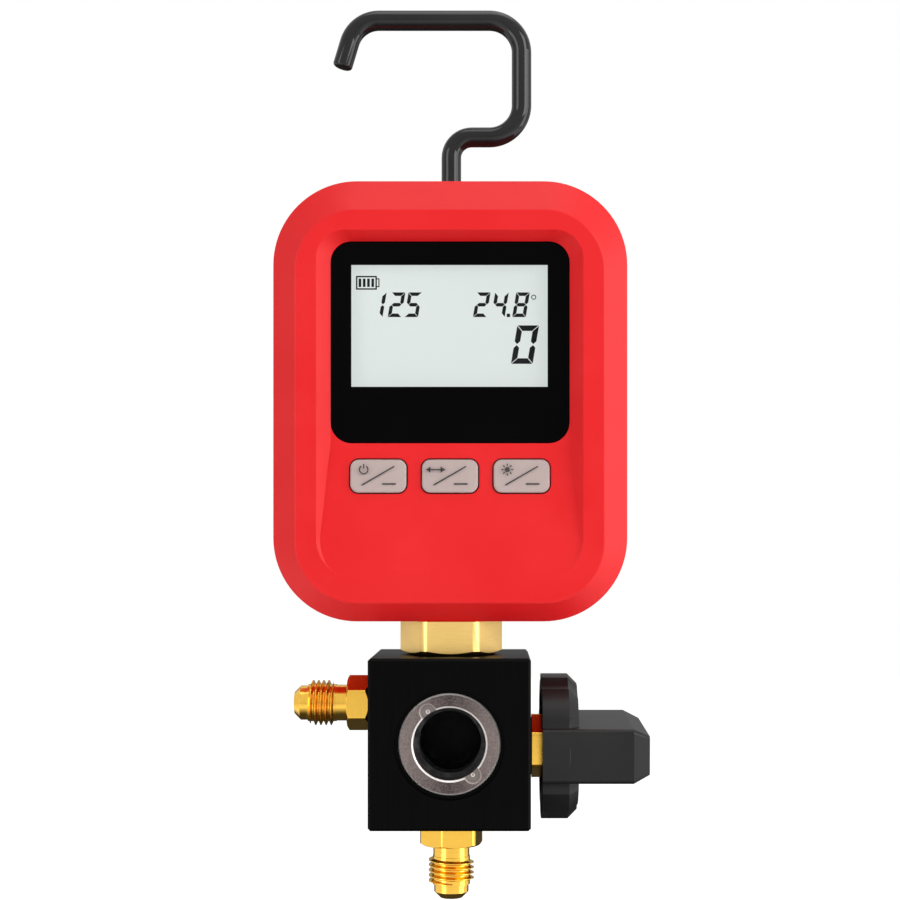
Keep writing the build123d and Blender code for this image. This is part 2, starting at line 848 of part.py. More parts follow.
with BuildPart() as sensor_o_ring:
    with BuildSketch(on_top(spigot_top - spigot_seat_depth)):
        Circle(spigot_seat_d / 2)
        Circle(spigot_seat_d / 2 - neck_o_ring_section, mode=Mode.SUBTRACT)
    extrude(amount=neck_o_ring_section)
    fillet(sensor_o_ring.edges(), neck_o_ring_section * 0.3)
sensor_o_ring.part.label = "sensor_o_ring"
export_step(sensor_o_ring.part, "parts/sensor_o_ring.step")

with BuildPart() as pressure_sensor:
    with BuildSketch(on_top(sensor_z)):
        Circle(spigot_seat_d / 2 - fit_gap)
    extrude(amount=sensor_height)
    chamfer(pressure_sensor.edges(), 0.4)
    with BuildSketch(on_top(sensor_z + sensor_height)):
        Circle(sensor_cap_d / 2)
    extrude(amount=sensor_cap_height)
pressure_sensor.part.label = "pressure_sensor"
export_step(pressure_sensor.part, "parts/pressure_sensor.step")

# ---------------------------------------------------------------- valve block

block_side = block_width / 2
block_face = block_depth / 2
ring_seat = block_face - ring_recess_depth
ring_back = ring_seat - ring_thickness
glass_front = ring_back - glass_washer_thickness
glass_back = glass_front - glass_thickness
glass_shoulder = glass_back - glass_seal_thickness
bonnet_back = block_side - bonnet_thread_length
valve_cavity_length = seat_gap + pad_thickness + valve_travel + slide_gap
cavity_start = bonnet_back - valve_cavity_length
lower_root_z = block_bottom + port_root_length

# slanted drilling from the lower union's bore to the valve cavity
slant_start = Vector(slant_offset, 0, lower_root_z - passage_d / 4)
slant_end = Vector(cavity_start + valve_cavity_length / 2, 0, valve_z)
slant = Plane(origin=slant_start, x_dir=(0, 1, 0), z_dir=slant_end - slant_start)

with BuildPart() as valve_block:
    with BuildSketch(on_top(block_bottom)):
        Rectangle(block_width, block_depth)
    extrude(amount=block_height)
    chamfer(valve_block.edges(), block_edge)
    # sight glass chamber, in steps from the front
    with BuildSketch(on_front(block_face, block_mid)):
        Circle(ring_recess_d / 2)
    extrude(amount=-ring_recess_depth, mode=Mode.SUBTRACT)
    with BuildSketch(on_front(ring_seat, block_mid)):
        Circle(ring_outer_d / 2)
    extrude(amount=ring_back - ring_seat, mode=Mode.SUBTRACT)
    with BuildSketch(on_front(ring_back, block_mid)):
        Circle(glass_seat_d / 2)
    extrude(amount=glass_shoulder - ring_back, mode=Mode.SUBTRACT)
    with BuildSketch(on_front(glass_shoulder, block_mid)):
        Circle(chamber_d / 2)
    extrude(amount=-glass_shoulder - chamber_past_axis, mode=Mode.SUBTRACT)
    # neck, from the top
    with BuildSketch(on_top(block_top)):
        Circle(neck_thread_d / 2)
    extrude(amount=-neck_thread_length, mode=Mode.SUBTRACT)
    with BuildSketch(on_top(block_top)):
        Circle(passage_d / 2)
    extrude(amount=block_mid - block_top, mode=Mode.SUBTRACT)
    # left union
    with BuildSketch(Plane.YZ.offset(-block_side)):
        with Locations((0, left_port_z)):
            Circle(port_root_d / 2)
    extrude(amount=port_root_length, mode=Mode.SUBTRACT)
    with BuildSketch(Plane.YZ.offset(-block_side)):
        with Locations((0, left_port_z)):
            Circle(passage_d / 2)
    extrude(amount=block_side, mode=Mode.SUBTRACT)
    # lower union
    with BuildSketch(on_top(block_bottom)):
        Circle(port_root_d / 2)
    extrude(amount=port_root_length, mode=Mode.SUBTRACT)
    with BuildSketch(slant):
        Circle(passage_d / 2)
    extrude(amount=(slant_end - slant_start).length, mode=Mode.SUBTRACT)
    # valve, from the right
    with BuildSketch(Plane.YZ.offset(block_side)):
        with Locations((0, valve_z)):
            Circle(bonnet_thread_d / 2)
    extrude(amount=-bonnet_thread_length, mode=Mode.SUBTRACT)
    with BuildSketch(Plane.YZ.offset(bonnet_back)):
        with Locations((0, valve_z)):
            Circle(valve_cavity_d / 2)
    extrude(amount=-valve_cavity_length, mode=Mode.SUBTRACT)
    with BuildSketch(Plane.YZ.offset(cavity_start)):
        with Locations((0, valve_z)):
            Circle(seat_bore_d / 2)
    extrude(amount=-cavity_start, mode=Mode.SUBTRACT)
valve_block.part.label = "valve_block"
export_step(valve_block.part, "parts/valve_block.step")

with BuildPart() as sight_glass_ring:
    with BuildSketch(on_front(ring_back, block_mid)):
        Circle(ring_outer_d / 2)
        Circle(ring_inner_d / 2, mode=Mode.SUBTRACT)
    extrude(amount=ring_thickness)
    chamfer(sight_glass_ring.faces().sort_by(Axis.Y)[0].edges(), ring_bevel)
    # two notches for the pin spanner
    with BuildSketch(on_front(ring_seat, block_mid)):
        for angle in (notch_angle, notch_angle_second):
            with PolarLocations(notch_circle_d / 2, 1, angle):
                Circle(notch_d / 2)
    extrude(amount=-notch_depth, mode=Mode.SUBTRACT)
    with BuildSketch(on_front(ring_seat - notch_depth, block_mid)):
        for angle in (notch_angle, notch_angle_second):
            with PolarLocations(notch_circle_d / 2, 1, angle):
                Circle(notch_dimple_d / 2)
    extrude(amount=-notch_dimple_depth, taper=30, mode=Mode.SUBTRACT)
sight_glass_ring.part.label = "sight_glass_ring"
export_step(sight_glass_ring.part, "parts/sight_glass_ring.step")

with BuildPart() as glass_washer:
    with BuildSketch(on_front(glass_front, block_mid)):
        Circle(glass_seat_d / 2)
        Circle(chamber_d / 2, mode=Mode.SUBTRACT)
    extrude(amount=glass_washer_thickness)
glass_washer.part.label = "glass_washer"
export_step(glass_washer.part, "parts/glass_washer.step")

with BuildPart() as sight_glass:
    with BuildSketch(on_front(glass_back, block_mid)):
        Circle(glass_seat_d / 2 - fit_gap)
    extrude(amount=glass_thickness)
    chamfer(sight_glass.edges(), ring_bevel)
sight_glass.part.label = "sight_glass"
export_step(sight_glass.part, "parts/sight_glass.step")

with BuildPart() as glass_seal:
    with BuildSketch(on_front(glass_shoulder, block_mid)):
        Circle(glass_seat_d / 2)
        Circle(chamber_d / 2, mode=Mode.SUBTRACT)
    extrude(amount=glass_seal_thickness)
glass_seal.part.label = "glass_seal"
export_step(glass_seal.part, "parts/glass_seal.step")

# ---------------------------------------------------------------- flare unions

left_face = Plane(origin=(-block_side, 0, left_port_z), x_dir=(0, 1, 0), z_dir=(-1, 0, 0))
bottom_face = Plane(origin=(0, 0, block_bottom), x_dir=(1, 0, 0), z_dir=(0, 0, -1))
unions = (
    ("left_port", left_face, left_port_flats, left_port_turn),
    ("bottom_port", bottom_face, bottom_port_flats, bottom_port_turn),
)
port_length = port_hex + port_neck + port_thread_length + port_nose

for name, face, flats, turn in unions:
    outward = Axis(face.origin, face.z_dir)

    with BuildPart() as washer:
        with BuildSketch(face):
            Circle(flats / 2)
            Circle(port_root_d / 2, mode=Mode.SUBTRACT)
        extrude(amount=port_seal_thickness)
    washer.part.label = f"{name}_seal"
    export_step(washer.part, f"parts/{name}_seal.step")

    with BuildPart() as union:
        with BuildSketch(face.offset(port_seal_thickness)):
            RegularPolygon(flats / 2, 6, major_radius=False, rotation=turn)
            Circle(flats / 2 + port_hex_corner, mode=Mode.INTERSECT)
        extrude(amount=port_hex - port_seal_thickness)
        # both rims of the hexagon are turned off to cones
        with BuildSketch(face.offset(port_hex)):
            Circle(flats / 2)
        extrude(amount=port_seal_thickness - port_hex, taper=-hex_cone, mode=Mode.INTERSECT)
        with BuildSketch(face.offset(port_seal_thickness)):
            Circle(flats / 2 - hex_back_cut)
        extrude(amount=port_hex - port_seal_thickness, taper=-hex_back_cone, mode=Mode.INTERSECT)
        with BuildSketch(face.offset(port_seal_thickness)):
            Circle(port_root_d / 2)
        extrude(amount=-port_seal_thickness - port_root_length)
        with BuildSketch(face.offset(port_hex)):
            Circle(port_neck_d / 2)
        extrude(amount=port_neck)
        with BuildSketch(face.offset(port_hex + port_neck)):
            Circle(port_thread_d / 2)
        extrude(amount=port_thread_length)
        with BuildSketch(face.offset(port_length - port_nose)):
            Circle(port_nose_d / 2)
        extrude(amount=port_nose)
        chamfer(union.faces().sort_by(outward)[-1].edges(), port_nose_chamfer)
        with BuildSketch(face.offset(port_length)):
            Circle(port_bore_d / 2)
        extrude(amount=-port_length - port_root_length, mode=Mode.SUBTRACT)
    union.part.label = name
    export_step(union.part, f"parts/{name}.step")

# ---------------------------------------------------------------- valve

valve_axis = Plane(origin=(block_side, 0, valve_z), x_dir=(0, 1, 0), z_dir=(1, 0, 0))
bonnet_front = bonnet_seal_thickness + bonnet_hex
ring_groove = -bonnet_thread_length + spindle_o_ring_section

with BuildPart() as bonnet_seal:
    with BuildSketch(valve_axis):
        Circle(bonnet_flats / 2)
        Circle(bonnet_thread_d / 2, mode=Mode.SUBTRACT)
    extrude(amount=bonnet_seal_thickness)
bonnet_seal.part.label = "bonnet_seal"
export_step(bonnet_seal.part, "parts/bonnet_seal.step")

with BuildPart() as valve_bonnet:
    with BuildSketch(valve_axis.offset(bonnet_seal_thickness)):
        RegularPolygon(bonnet_flats / 2, 6, major_radius=False, rotation=bonnet_turn)
        Circle(bonnet_flats / 2 + port_hex_corner, mode=Mode.INTERSECT)
    extrude(amount=bonnet_hex)
    with BuildSketch(valve_axis.offset(bonnet_front)):
        Circle(bonnet_flats / 2)
    extrude(amount=-bonnet_hex, taper=-hex_cone, mode=Mode.INTERSECT)
    with BuildSketch(valve_axis.offset(bonnet_seal_thickness)):
        Circle(bonnet_thread_d / 2)
    extrude(amount=-bonnet_seal_thickness - bonnet_thread_length)
    with BuildSketch(valve_axis.offset(bonnet_front)):
        Circle(spindle_d / 2 + running_gap)
    extrude(amount=-bonnet_front - bonnet_thread_length, mode=Mode.SUBTRACT)
    # groove for the spindle's O-ring
    with BuildSketch(valve_axis.offset(ring_groove)):
        Circle(spindle_d / 2 + running_gap + spindle_o_ring_section)
    extrude(amount=spindle_o_ring_section, mode=Mode.SUBTRACT)
valve_bonnet.part.label = "valve_bonnet"
export_step(valve_bonnet.part, "parts/valve_bonnet.step")

with BuildPart() as spindle_o_ring:
    with BuildSketch(valve_axis.offset(ring_groove)):
        Circle(spindle_d / 2 + running_gap + spindle_o_ring_section)
        Circle(spindle_d / 2 + running_gap, mode=Mode.SUBTRACT)
    extrude(amount=spindle_o_ring_section)
spindle_o_ring.part.label = "spindle_o_ring"
export_step(spindle_o_ring.part, "parts/spindle_o_ring.step")

# seat pad: it lifts with the spindle and doesn't turn
with BuildPart() as seat_pad:
    with BuildSketch(Plane.YZ.offset(cavity_start + seat_gap)):
        with Locations((0, valve_z)):
            Circle(pad_d / 2)
    extrude(amount=pad_thickness)
    chamfer(seat_pad.edges(), 0.2)
seat_pad.part.label = "seat_pad"
export_step(seat_pad.part, "parts/seat_pad.step")

knob_back = block_side + knob_gap
knob_front = knob_back + knob_flange
grip_end = knob_front + grip_height
hub_back = knob_back + knob_hub_setback
socket_end = hub_back + socket_depth
spindle_start = cavity_start + seat_gap + pad_thickness + pad_gap

with BuildPart() as valve_spindle:
    with BuildSketch(Plane.YZ.offset(spindle_start)):
        with Locations((0, valve_z)):
            Circle(spindle_d / 2)
    extrude(amount=hub_back - spindle_start)
    with BuildSketch(Plane.YZ.offset(hub_back)):
        with Locations((0, valve_z)):
            Rectangle(spindle_square, spindle_square)
    extrude(amount=socket_depth)
    with BuildSketch(Plane.YZ.offset(socket_end)):
        with Locations((0, valve_z)):
            Circle(knob_screw_d / 2)
    extrude(amount=-knob_screw_grip, mode=Mode.SUBTRACT)
valve_spindle.part.label = "valve_spindle"
export_step(valve_spindle.part, "parts/valve_spindle.step")

# ---------------------------------------------------------------- knob

knob_plane = Plane(origin=(knob_back, 0, valve_z), x_dir=(0, 1, 0), z_dir=(1, 0, 0))
screw_seat = socket_end - knob_back + knob_screw_floor

# T-bar across the whole flange
bar_height = knob_flange + grip_height
lobe_cut_reach = (knob_d + knob_lobe_cut_d) / 2 - knob_lobe_cut

with BuildPart() as grip_bar:
    with BuildSketch(knob_plane):
        RectangleRounded(grip_length, grip_width, grip_round, rotation=grip_turn)
    extrude(amount=bar_height - grip_crown)
    # the end narrows on all four sides
    with BuildSketch(knob_plane.offset(bar_height - grip_crown)):
        RectangleRounded(grip_length, grip_width, grip_round, rotation=grip_turn)
    with BuildSketch(knob_plane.offset(bar_height)):
        RectangleRounded(
            grip_length - 2 * grip_crown_cut,
            grip_width - 2 * grip_crown_cut,
            grip_round / 2,
            rotation=grip_turn,
        )
    loft()

with BuildPart() as knob:
    with BuildSketch(knob_plane):
        Circle(knob_d / 2)
        with PolarLocations(lobe_cut_reach, knob_lobes, grip_turn + 180 / knob_lobes):
            Circle(knob_lobe_cut_d / 2, mode=Mode.SUBTRACT)
    extrude(amount=knob_flange)
    chamfer(knob.faces().sort_by(Axis.X)[-1].edges(), knob_rim_chamfer)
    add(grip_bar.part)
    with BuildSketch(knob_plane):
        Circle(knob_dish_d / 2)
        Circle(knob_hub_d / 2, mode=Mode.SUBTRACT)
    extrude(amount=knob_dish_depth, mode=Mode.SUBTRACT)
    with BuildSketch(knob_plane):
        Circle(knob_hub_d / 2)
    extrude(amount=knob_hub_setback, mode=Mode.SUBTRACT)
    with BuildSketch(knob_plane):
        Rectangle(spindle_square, spindle_square)
    extrude(amount=socket_end - knob_back, mode=Mode.SUBTRACT)
    with BuildSketch(knob_plane):
        Circle(knob_screw_d / 2)
    extrude(amount=screw_seat, mode=Mode.SUBTRACT)
    with BuildSketch(knob_plane.offset(screw_seat)):
        Circle(knob_screw_head_d / 2 + fit_gap)
    extrude(amount=grip_end - knob_back - screw_seat, mode=Mode.SUBTRACT)
    with BuildSketch(knob_plane.offset(grip_end - knob_back)):
        Circle(knob_cap_d / 2)
    extrude(amount=-knob_cap_thickness, mode=Mode.SUBTRACT)
knob.part.label = "knob"
export_step(knob.part, "parts/knob.step")

with BuildPart() as knob_screw:
    with BuildSketch(knob_plane.offset(screw_seat)):
        Circle(knob_screw_head_d / 2)
    extrude(amount=knob_screw_head)
    with BuildSketch(knob_plane.offset(screw_seat)):
        Circle(knob_screw_d / 2)
    extrude(amount=-knob_screw_floor - knob_screw_grip)
    with BuildSketch(knob_plane.offset(screw_seat + knob_screw_head)):
        RegularPolygon(knob_screw_head_d * 0.27, 6)
    extrude(amount=-knob_screw_head * 0.6, mode=Mode.SUBTRACT)
knob_screw.part.label = "knob_screw"
export_step(knob_screw.part, "parts/knob_screw.step")

with BuildPart() as knob_cap:
    with BuildSketch(knob_plane.offset(grip_end - knob_back)):
        Circle(knob_cap_d / 2)
    extrude(amount=-knob_cap_thickness)
knob_cap.part.label = "knob_cap"
export_step(knob_cap.part, "parts/knob_cap.step")
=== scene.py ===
"""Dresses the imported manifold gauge: finishes, threads, display, key marks and stage."""

import json
import math

import bmesh
import bpy
from mathutils import Matrix, Vector

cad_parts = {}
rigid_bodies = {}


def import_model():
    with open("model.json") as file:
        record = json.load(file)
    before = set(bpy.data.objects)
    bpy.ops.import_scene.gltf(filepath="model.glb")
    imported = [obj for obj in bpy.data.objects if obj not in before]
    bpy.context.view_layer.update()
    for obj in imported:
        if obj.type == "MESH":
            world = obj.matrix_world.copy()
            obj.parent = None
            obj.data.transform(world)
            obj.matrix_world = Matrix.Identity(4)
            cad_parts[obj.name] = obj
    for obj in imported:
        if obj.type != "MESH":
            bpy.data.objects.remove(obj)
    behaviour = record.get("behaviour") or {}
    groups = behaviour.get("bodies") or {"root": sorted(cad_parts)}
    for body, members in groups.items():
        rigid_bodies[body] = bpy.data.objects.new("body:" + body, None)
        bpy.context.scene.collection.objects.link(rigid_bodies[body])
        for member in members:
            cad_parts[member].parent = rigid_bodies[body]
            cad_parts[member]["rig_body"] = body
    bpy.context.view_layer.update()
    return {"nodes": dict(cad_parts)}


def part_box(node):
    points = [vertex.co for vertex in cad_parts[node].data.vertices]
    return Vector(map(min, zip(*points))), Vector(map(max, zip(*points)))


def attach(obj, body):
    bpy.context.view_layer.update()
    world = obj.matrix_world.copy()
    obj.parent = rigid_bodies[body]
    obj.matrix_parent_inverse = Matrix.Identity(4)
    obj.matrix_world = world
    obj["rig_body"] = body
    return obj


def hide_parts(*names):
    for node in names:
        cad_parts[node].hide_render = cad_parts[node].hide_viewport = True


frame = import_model()

bl_info = {
    "name": "Manifold gauge",
    "version": (1, 0, 0),
    "blender": (4, 5, 0),
    "location": "3D View > Sidebar > Gauge",
    "description": "Finishes a single-valve digital manifold gauge built round its CAD frame",
    "category": "Object",
}

MM = 0.001
MERGE = 0.002 * MM  # loose corners of the CAD triangles closer than this are one
FLAT = math.radians(0.4)  # faces that turn less than this are one face
CREASE = math.radians(34)  # an edge that turns more than this stays sharp
SUNK = 0.02 * MM  # how far a printed mark reaches into the face it lies on
WIDE_BREAK = 0.4 * MM  # an edge broken wider than this gets one more facet
FINE_BREAK = 0.1 * MM  # break of the small pieces' edges
SCREW_BREAK = 0.08 * MM
KNOB_CREASE = math.radians(18)  # keeps the shallow facets at the knob's end apart

NOTCH_ANGLES = (124.0, -53.0)  # where the ring's spanner notches stand, in degrees
NOTCH_REACH = 9.1 * MM  # from the ring's middle to a notch's middle
NOTCH_RADIUS = 2.1 * MM
NOTCH_DEPTH = 1.0 * MM
BONNET_TURN = math.radians(14)  # how the screwed-in bonnet stands round its own axis

CAMERA_PLACE = (10.3 * MM, -400 * MM, -127.8 * MM)
CAMERA_LENS = 65.28
CAMERA_SHIFT = (-0.0482, 0.1133)
FLOOR_Z = -0.62
FLOOR_REACH = 6.0
AMBIENT = 0.36  # light from the surroundings on dull surfaces
FLOOR_GLOW = 0.84  # white of the floor where the eye, metal or glass sees it
LAMP_AIM = (0, 0, -105 * MM)
LAMPS = (  # name, place, width, height, watts, seen in gloss
    ("key_lamp", (0.95, -0.85, 0.40), 0.6, 0.9, 9.4, True),
    ("side_lamp", (1.10, -0.30, -0.06), 0.6, 0.9, 6.0, True),
    ("fill_lamp", (-0.85, -0.75, 0.0), 0.5, 1.0, 5.4, True),
    ("top_lamp", (0.1, -0.10, 1.0), 0.9, 0.6, 3.6, True),
    ("back_lamp", (-0.5, 1.0, 0.4), 0.9, 0.9, 9.0, False),
)


def tint(red, green, blue):
    """A display colour, 0 to 255 a channel, as the linear values that Blender stores."""
    linear = []
    for channel in (red, green, blue):
        share = channel / 255
        linear.append(share / 12.92 if share <= 0.04045 else ((share + 0.055) / 1.055) ** 2.4)
    return tuple(linear)


def length(name, millimetres, description):
    """A length property with its default given in millimetres."""
    return bpy.props.FloatProperty(
        name=name,
        description=description,
        default=millimetres * MM,
        min=0.0,
        precision=5,
        subtype="DISTANCE",
        unit="LENGTH",
    )


def shade(name, colour, description):
    """A colour property with its default given as a display colour."""
    return bpy.props.FloatVectorProperty(
        name=name,
        description=description,
        default=tint(*colour),
        min=0.0,
        max=1.0,
        size=3,
        subtype="COLOR",
    )


class GaugeSizes(bpy.types.PropertyGroup):
    """Lengths of what the scene adds to the frame."""

    mould_edge: length("Moulded edge", 0.8, "Rounding of the housing's sharp edges")
    machined_edge: length("Machined edge", 0.22, "Break of the fittings' edges")
    block_edge: length("Block edge", 0.8, "Break of the block's edges")
    knob_edge: length("Knob edge", 0.9, "Rounding of the knob's edges")
    thread_pitch: length("Thread pitch", 1.27, "Distance between the threads of a union")
    thread_root: length("Thread root", 9.1, "Diameter at the bottom of the thread")
    thread_crest: length("Thread crest", 11.06, "Diameter over the thread")
    thread_length: length("Thread length", 6.9, "Length of the thread on a union")
    nose_length: length("Nose length", 3.3, "Length of the flare nose ahead of the thread")
    view_width: length("Display width", 46.9, "Width of the clear part of the window")
    view_height: length("Display height", 29.2, "Height of the clear part of the window")
    digit_height: length("Digit height", 5.9, "Height of a small number on the display")
    digit_width: length("Digit width", 3.25, "Width of a small number on the display")
    digit_bar: length("Digit bar", 0.84, "Thickness of a small number's bars")
    big_height: length("Large digit height", 9.2, "Height of the large number on the display")
    big_width: length("Large digit width", 5.2, "Width of the large number on the display")
    big_bar: length("Large digit bar", 1.32, "Thickness of the large number's bars")
    mark_thickness: length("Mark thickness", 0.06, "How far a printed mark stands off its face")


class GaugeColours(bpy.types.PropertyGroup):
    """Colours of the gauge's finishes."""

    shell: shade("Shell", (222, 15, 21), "Red moulded housing")
    lacquer: shade("Hook", (9, 9, 10), "Gloss lacquer on the hook")
    anodised: shade("Block", (6, 6, 6), "Anodised block")
    brass: shade("Brass", (243, 192, 80), "Turned brass of the unions and the bonnet")
    satin: shade("Neck brass", (236, 198, 120), "Satin brass of the neck")
    knob: shade("Knob", (11, 9, 9), "Moulded knob")
    keys: shade("Keys", (178, 160, 156), "Soft grey keys")
    display: shade("Display", (228, 236, 233), "Face of the display")
    digits: shade("Digits", (13, 14, 17), "Dark segments of the display")
    floor: shade("Floor", (244, 244, 243), "Studio floor")


class Link:
    """One output of a node tree. Arithmetic on it adds Math nodes."""

    def __init__(self, tree, socket):
        self.tree = tree
        self.socket = socket

    def _math(self, operation, first, second):
        settings = {"operation": operation}
        return self.tree.node("ShaderNodeMath", settings, {0: first, 1: second})

    def __add__(self, other):
        return self._math("ADD", self, other)

    def __sub__(self, other):
        return self._math("SUBTRACT", self, other)

    def __mul__(self, other):
        return self._math("MULTIPLY", self, other)

    def __truediv__(self, other):
        return self._math("DIVIDE", self, other)

    def __rsub__(self, other):
        return self._math("SUBTRACT", other, self)

    def __rtruediv__(self, other):
        return self._math("DIVIDE", other, self)

    def __lt__(self, other):
        return self._math("LESS_THAN", self, other)

    def __gt__(self, other):
        return self._math("GREATER_THAN", self, other)

    def __abs__(self):
        return self._math("ABSOLUTE", self, 0.0)

    def zigzag(self):
        """Runs up and down between 0 and 1 as the value grows."""
        return self._math("PINGPONG", self, 1.0)

    def lowest(self, other):
        return self._math("MINIMUM", self, other)

    def highest(self, other):
        return self._math("MAXIMUM", self, other)

    __radd__ = __add__
    __rmul__ = __mul__


class Tree:
    """A node tree under construction."""

    def __init__(self, tree):
        self.tree = tree

    def put(self, socket, value):
        """Gives a socket a link or a constant."""
        if isinstance(value, Link):
            self.tree.links.new(value.socket, socket)
        elif socket.type == "RGBA" and len(value) == 3:
            socket.default_value = (*value, 1.0)
        else:
            socket.default_value = value

    def node(self, kind, settings=None, values=None, output=0):
        """Adds a node, sets it up, fills its sockets and returns one of its outputs."""
        made = self.tree.nodes.new(kind)
        for name, setting in (settings or {}).items():
            if name == "stops":
                stops = made.color_ramp.elements
                while len(stops) < len(setting):
                    stops.new(1.0)
                for stop, (place, grey) in zip(stops, setting):
                    stop.position = place
                    stop.color = (grey, grey, grey, 1.0)
            else:
                setattr(made, name, setting)
        for name, value in (values or {}).items():
            self.put(made.inputs[name], value)
        return Link(self, made.outputs[output])


class Finish(Tree):
    """A material under construction, with the sockets of its one shader."""

    def __init__(self, name, **constants):
        self.material = bpy.data.materials.new(name)
        self.material.use_nodes = True
        super().__init__(self.material.node_tree)
        self.shader = self.tree.nodes["Principled BSDF"]
        self.place = self.node("ShaderNodeTexCoord", output="Object")
        self.set(**constants)

    def set(self, **values):
        """Fills the shader's sockets, named in lower case with underscores."""
        sockets = {s.name.lower().replace(" ", "_"): s for s in self.shader.inputs}
        for name, value in values.items():
            self.put(sockets[name], value)

    def moved(self, scale=(1, 1, 1), centre=(0, 0, 0), turn=(0, 0, 0)):
        """Object coordinates centred on a point, then turned and stretched."""
        away = tuple(-at * by for at, by in zip(centre, scale))
        values = {"Vector": self.place, "Location": away, "Rotation": turn, "Scale": scale}
        return self.node("ShaderNodeMapping", None, values)

    def noise(self, scale, vector=None, detail=3.0, roughness=0.55):
        """Smooth noise between 0 and 1, with its scale in cells a metre."""
        values = {
            "Vector": vector or self.place,
            "Scale": scale,
            "Detail": detail,
            "Roughness": roughness,
        }
        return self.node("ShaderNodeTexNoise", None, values)

    def steps(self, value, *stops):
        """Runs a value through a grey ramp."""
        return self.node("ShaderNodeValToRGB", {"stops": stops}, {0: value})

    def mixed(self, factor, first, second):
        """A colour between two others."""
        settings = {"data_type": "RGBA"}
        return self.node("ShaderNodeMix", settings, {0: factor, 6: first, 7: second}, 2)

    def parts(self, vector):
        """The three numbers of a vector."""
        split = self.node("ShaderNodeSeparateXYZ", None, {0: vector})
        outputs = split.socket.node.outputs
        return [Link(self, outputs[axis]) for axis in range(3)]

    def relief(self, height, depth, strength=1.0):
        """Raises the surface by a height between 0 and 1, times a depth in millimetres."""
        values = {"Height": height, "Distance": depth * MM, "Strength": strength}
        self.set(normal=self.node("ShaderNodeBump", None, values))


def darker(colour, share):
    """A colour with its light cut to a share."""
    return tuple(channel * share for channel in colour[:3])


def lighter(colour, share):
    """A colour moved a share of the way to white."""
    return tuple(channel + (1 - channel) * share for channel in colour[:3])


def moulded(name, colour, roughness, grain=0.012, spread=0.10, **constants):
    """Moulded plastic: fine spark grain, slow drift in colour and gloss."""
    finish = Finish(name, **constants)
    drift = finish.noise(55.0, detail=2.0)
    fine = finish.noise(5200.0, detail=2.0)
    finish.set(
        base_color=finish.mixed(drift, darker(colour, 1 - spread), lighter(colour, spread * 0.12)),
        roughness=drift * 0.08 + fine * 0.10 + (roughness - 0.09),
    )
    finish.relief(fine, grain)
    return finish.material


def rubber(name, colour):
    """Dull elastomer with a dusty bloom."""
    finish = Finish(name, specular_ior_level=0.3)
    bloom = finish.noise(400.0, detail=5.0)
    dust = finish.steps(bloom, (0.45, 0), (0.75, 1))
    finish.set(
        base_color=finish.mixed(dust, colour, lighter(colour, 0.06)),
        roughness=bloom * 0.15 + 0.62,
    )
    finish.relief(finish.noise(1500.0), 0.005)
    return finish.material


def streaked(name, colour, roughness, stretch, metallic=1.0, contrast=0.25, depth=0.004, **constants):
    """Metal with fine straight or turned tool marks along the short way of the stretch."""
    finish = Finish(name, metallic=metallic, **constants)
    marks = finish.noise(1.0, finish.moved(stretch), detail=4.0, roughness=0.7)
    stain = finish.noise(120.0, detail=3.0)
    worn = finish.steps(marks, (0.3, 0.0), (0.7, 1.0))
    finish.set(
        base_color=finish.mixed(worn * 0.7 + stain * 0.3, darker(colour, 1 - contrast), colour),
        roughness=marks * 0.12 + stain * 0.06 + (roughness - 0.09),
    )
    finish.relief(marks, depth)
    return finish.material


def speckled_with_painted_sheen(name, dark, light, roughness, centre, reach):
    """Blasted plate on a turned ring, with a painted sheen that makes it brighter towards its two sides.
    """
    finish = Finish(name, metallic=0.85)
    across, _, _ = finish.parts(finish.moved(centre=centre))
    grit = finish.noise(3600.0, detail=4.0, roughness=0.8)
    glint = finish.steps(grit, (0.40, 0.0), (0.66, 1.0))
    # painted sheen: half of the mix grows with the distance across from the ring's middle, over the
    # grit's random speckle
    lit = glint * 0.5 + abs(across) * (0.5 / reach)
    finish.set(base_color=finish.mixed(lit, dark, light), roughness=glint * 0.16 + roughness)
    finish.relief(grit, 0.03)
    return finish.material


def milled(name, dark, light, centres):
    """Floor of a spot-faced notch: the cutter's rings, with painted shade in a dimple at its middle, a
    painted highlight round the dimple and a painted highlight on its rim.
    """
    finish = Finish(name, metallic=0.4)
    spans = []
    for centre in centres:
        values = {0: finish.place, 1: centre}
        spans.append(finish.node("ShaderNodeVectorMath", {"operation": "DISTANCE"}, values, "Value"))
    span = spans[0].lowest(spans[1]) / NOTCH_RADIUS
    grit = finish.noise(4200.0)
    # painted light: the dark middle is painted shade in the dimple, the bright ring round it a painted
    # highlight on its slope
    dimple = ((0.12, 0.0), (0.20, 0.9), (0.32, 0.25))
    # the cutter's rings, then a bright outer rim that is a painted highlight
    cuts = ((0.5, 0.5), (0.66, 0.3), (0.82, 0.45), (0.9, 1.0))
    cuts_and_painted_light = finish.steps(span, *dimple, *cuts)
    grooves_and_painted_light = cuts_and_painted_light * 0.8 + grit * 0.2
    finish.set(base_color=finish.mixed(grooves_and_painted_light, dark, light), roughness=grooves_and_painted_light * 0.2 + 0.3)
    finish.relief(grooves_and_painted_light, 0.04)
    return finish.material


def lacquered(name, colour):
    """Gloss lacquer with a faint orange peel under a clear coat."""
    finish = Finish(name, coat_weight=0.5, coat_roughness=0.015, specular_ior_level=0.04)
    peel = finish.noise(900.0, detail=1.0)
    finish.set(
        base_color=finish.mixed(finish.noise(70.0), colour, lighter(colour, 0.012)),
        roughness=peel * 0.06 + 0.08,
    )
    finish.relief(peel, 0.004)
    return finish.material


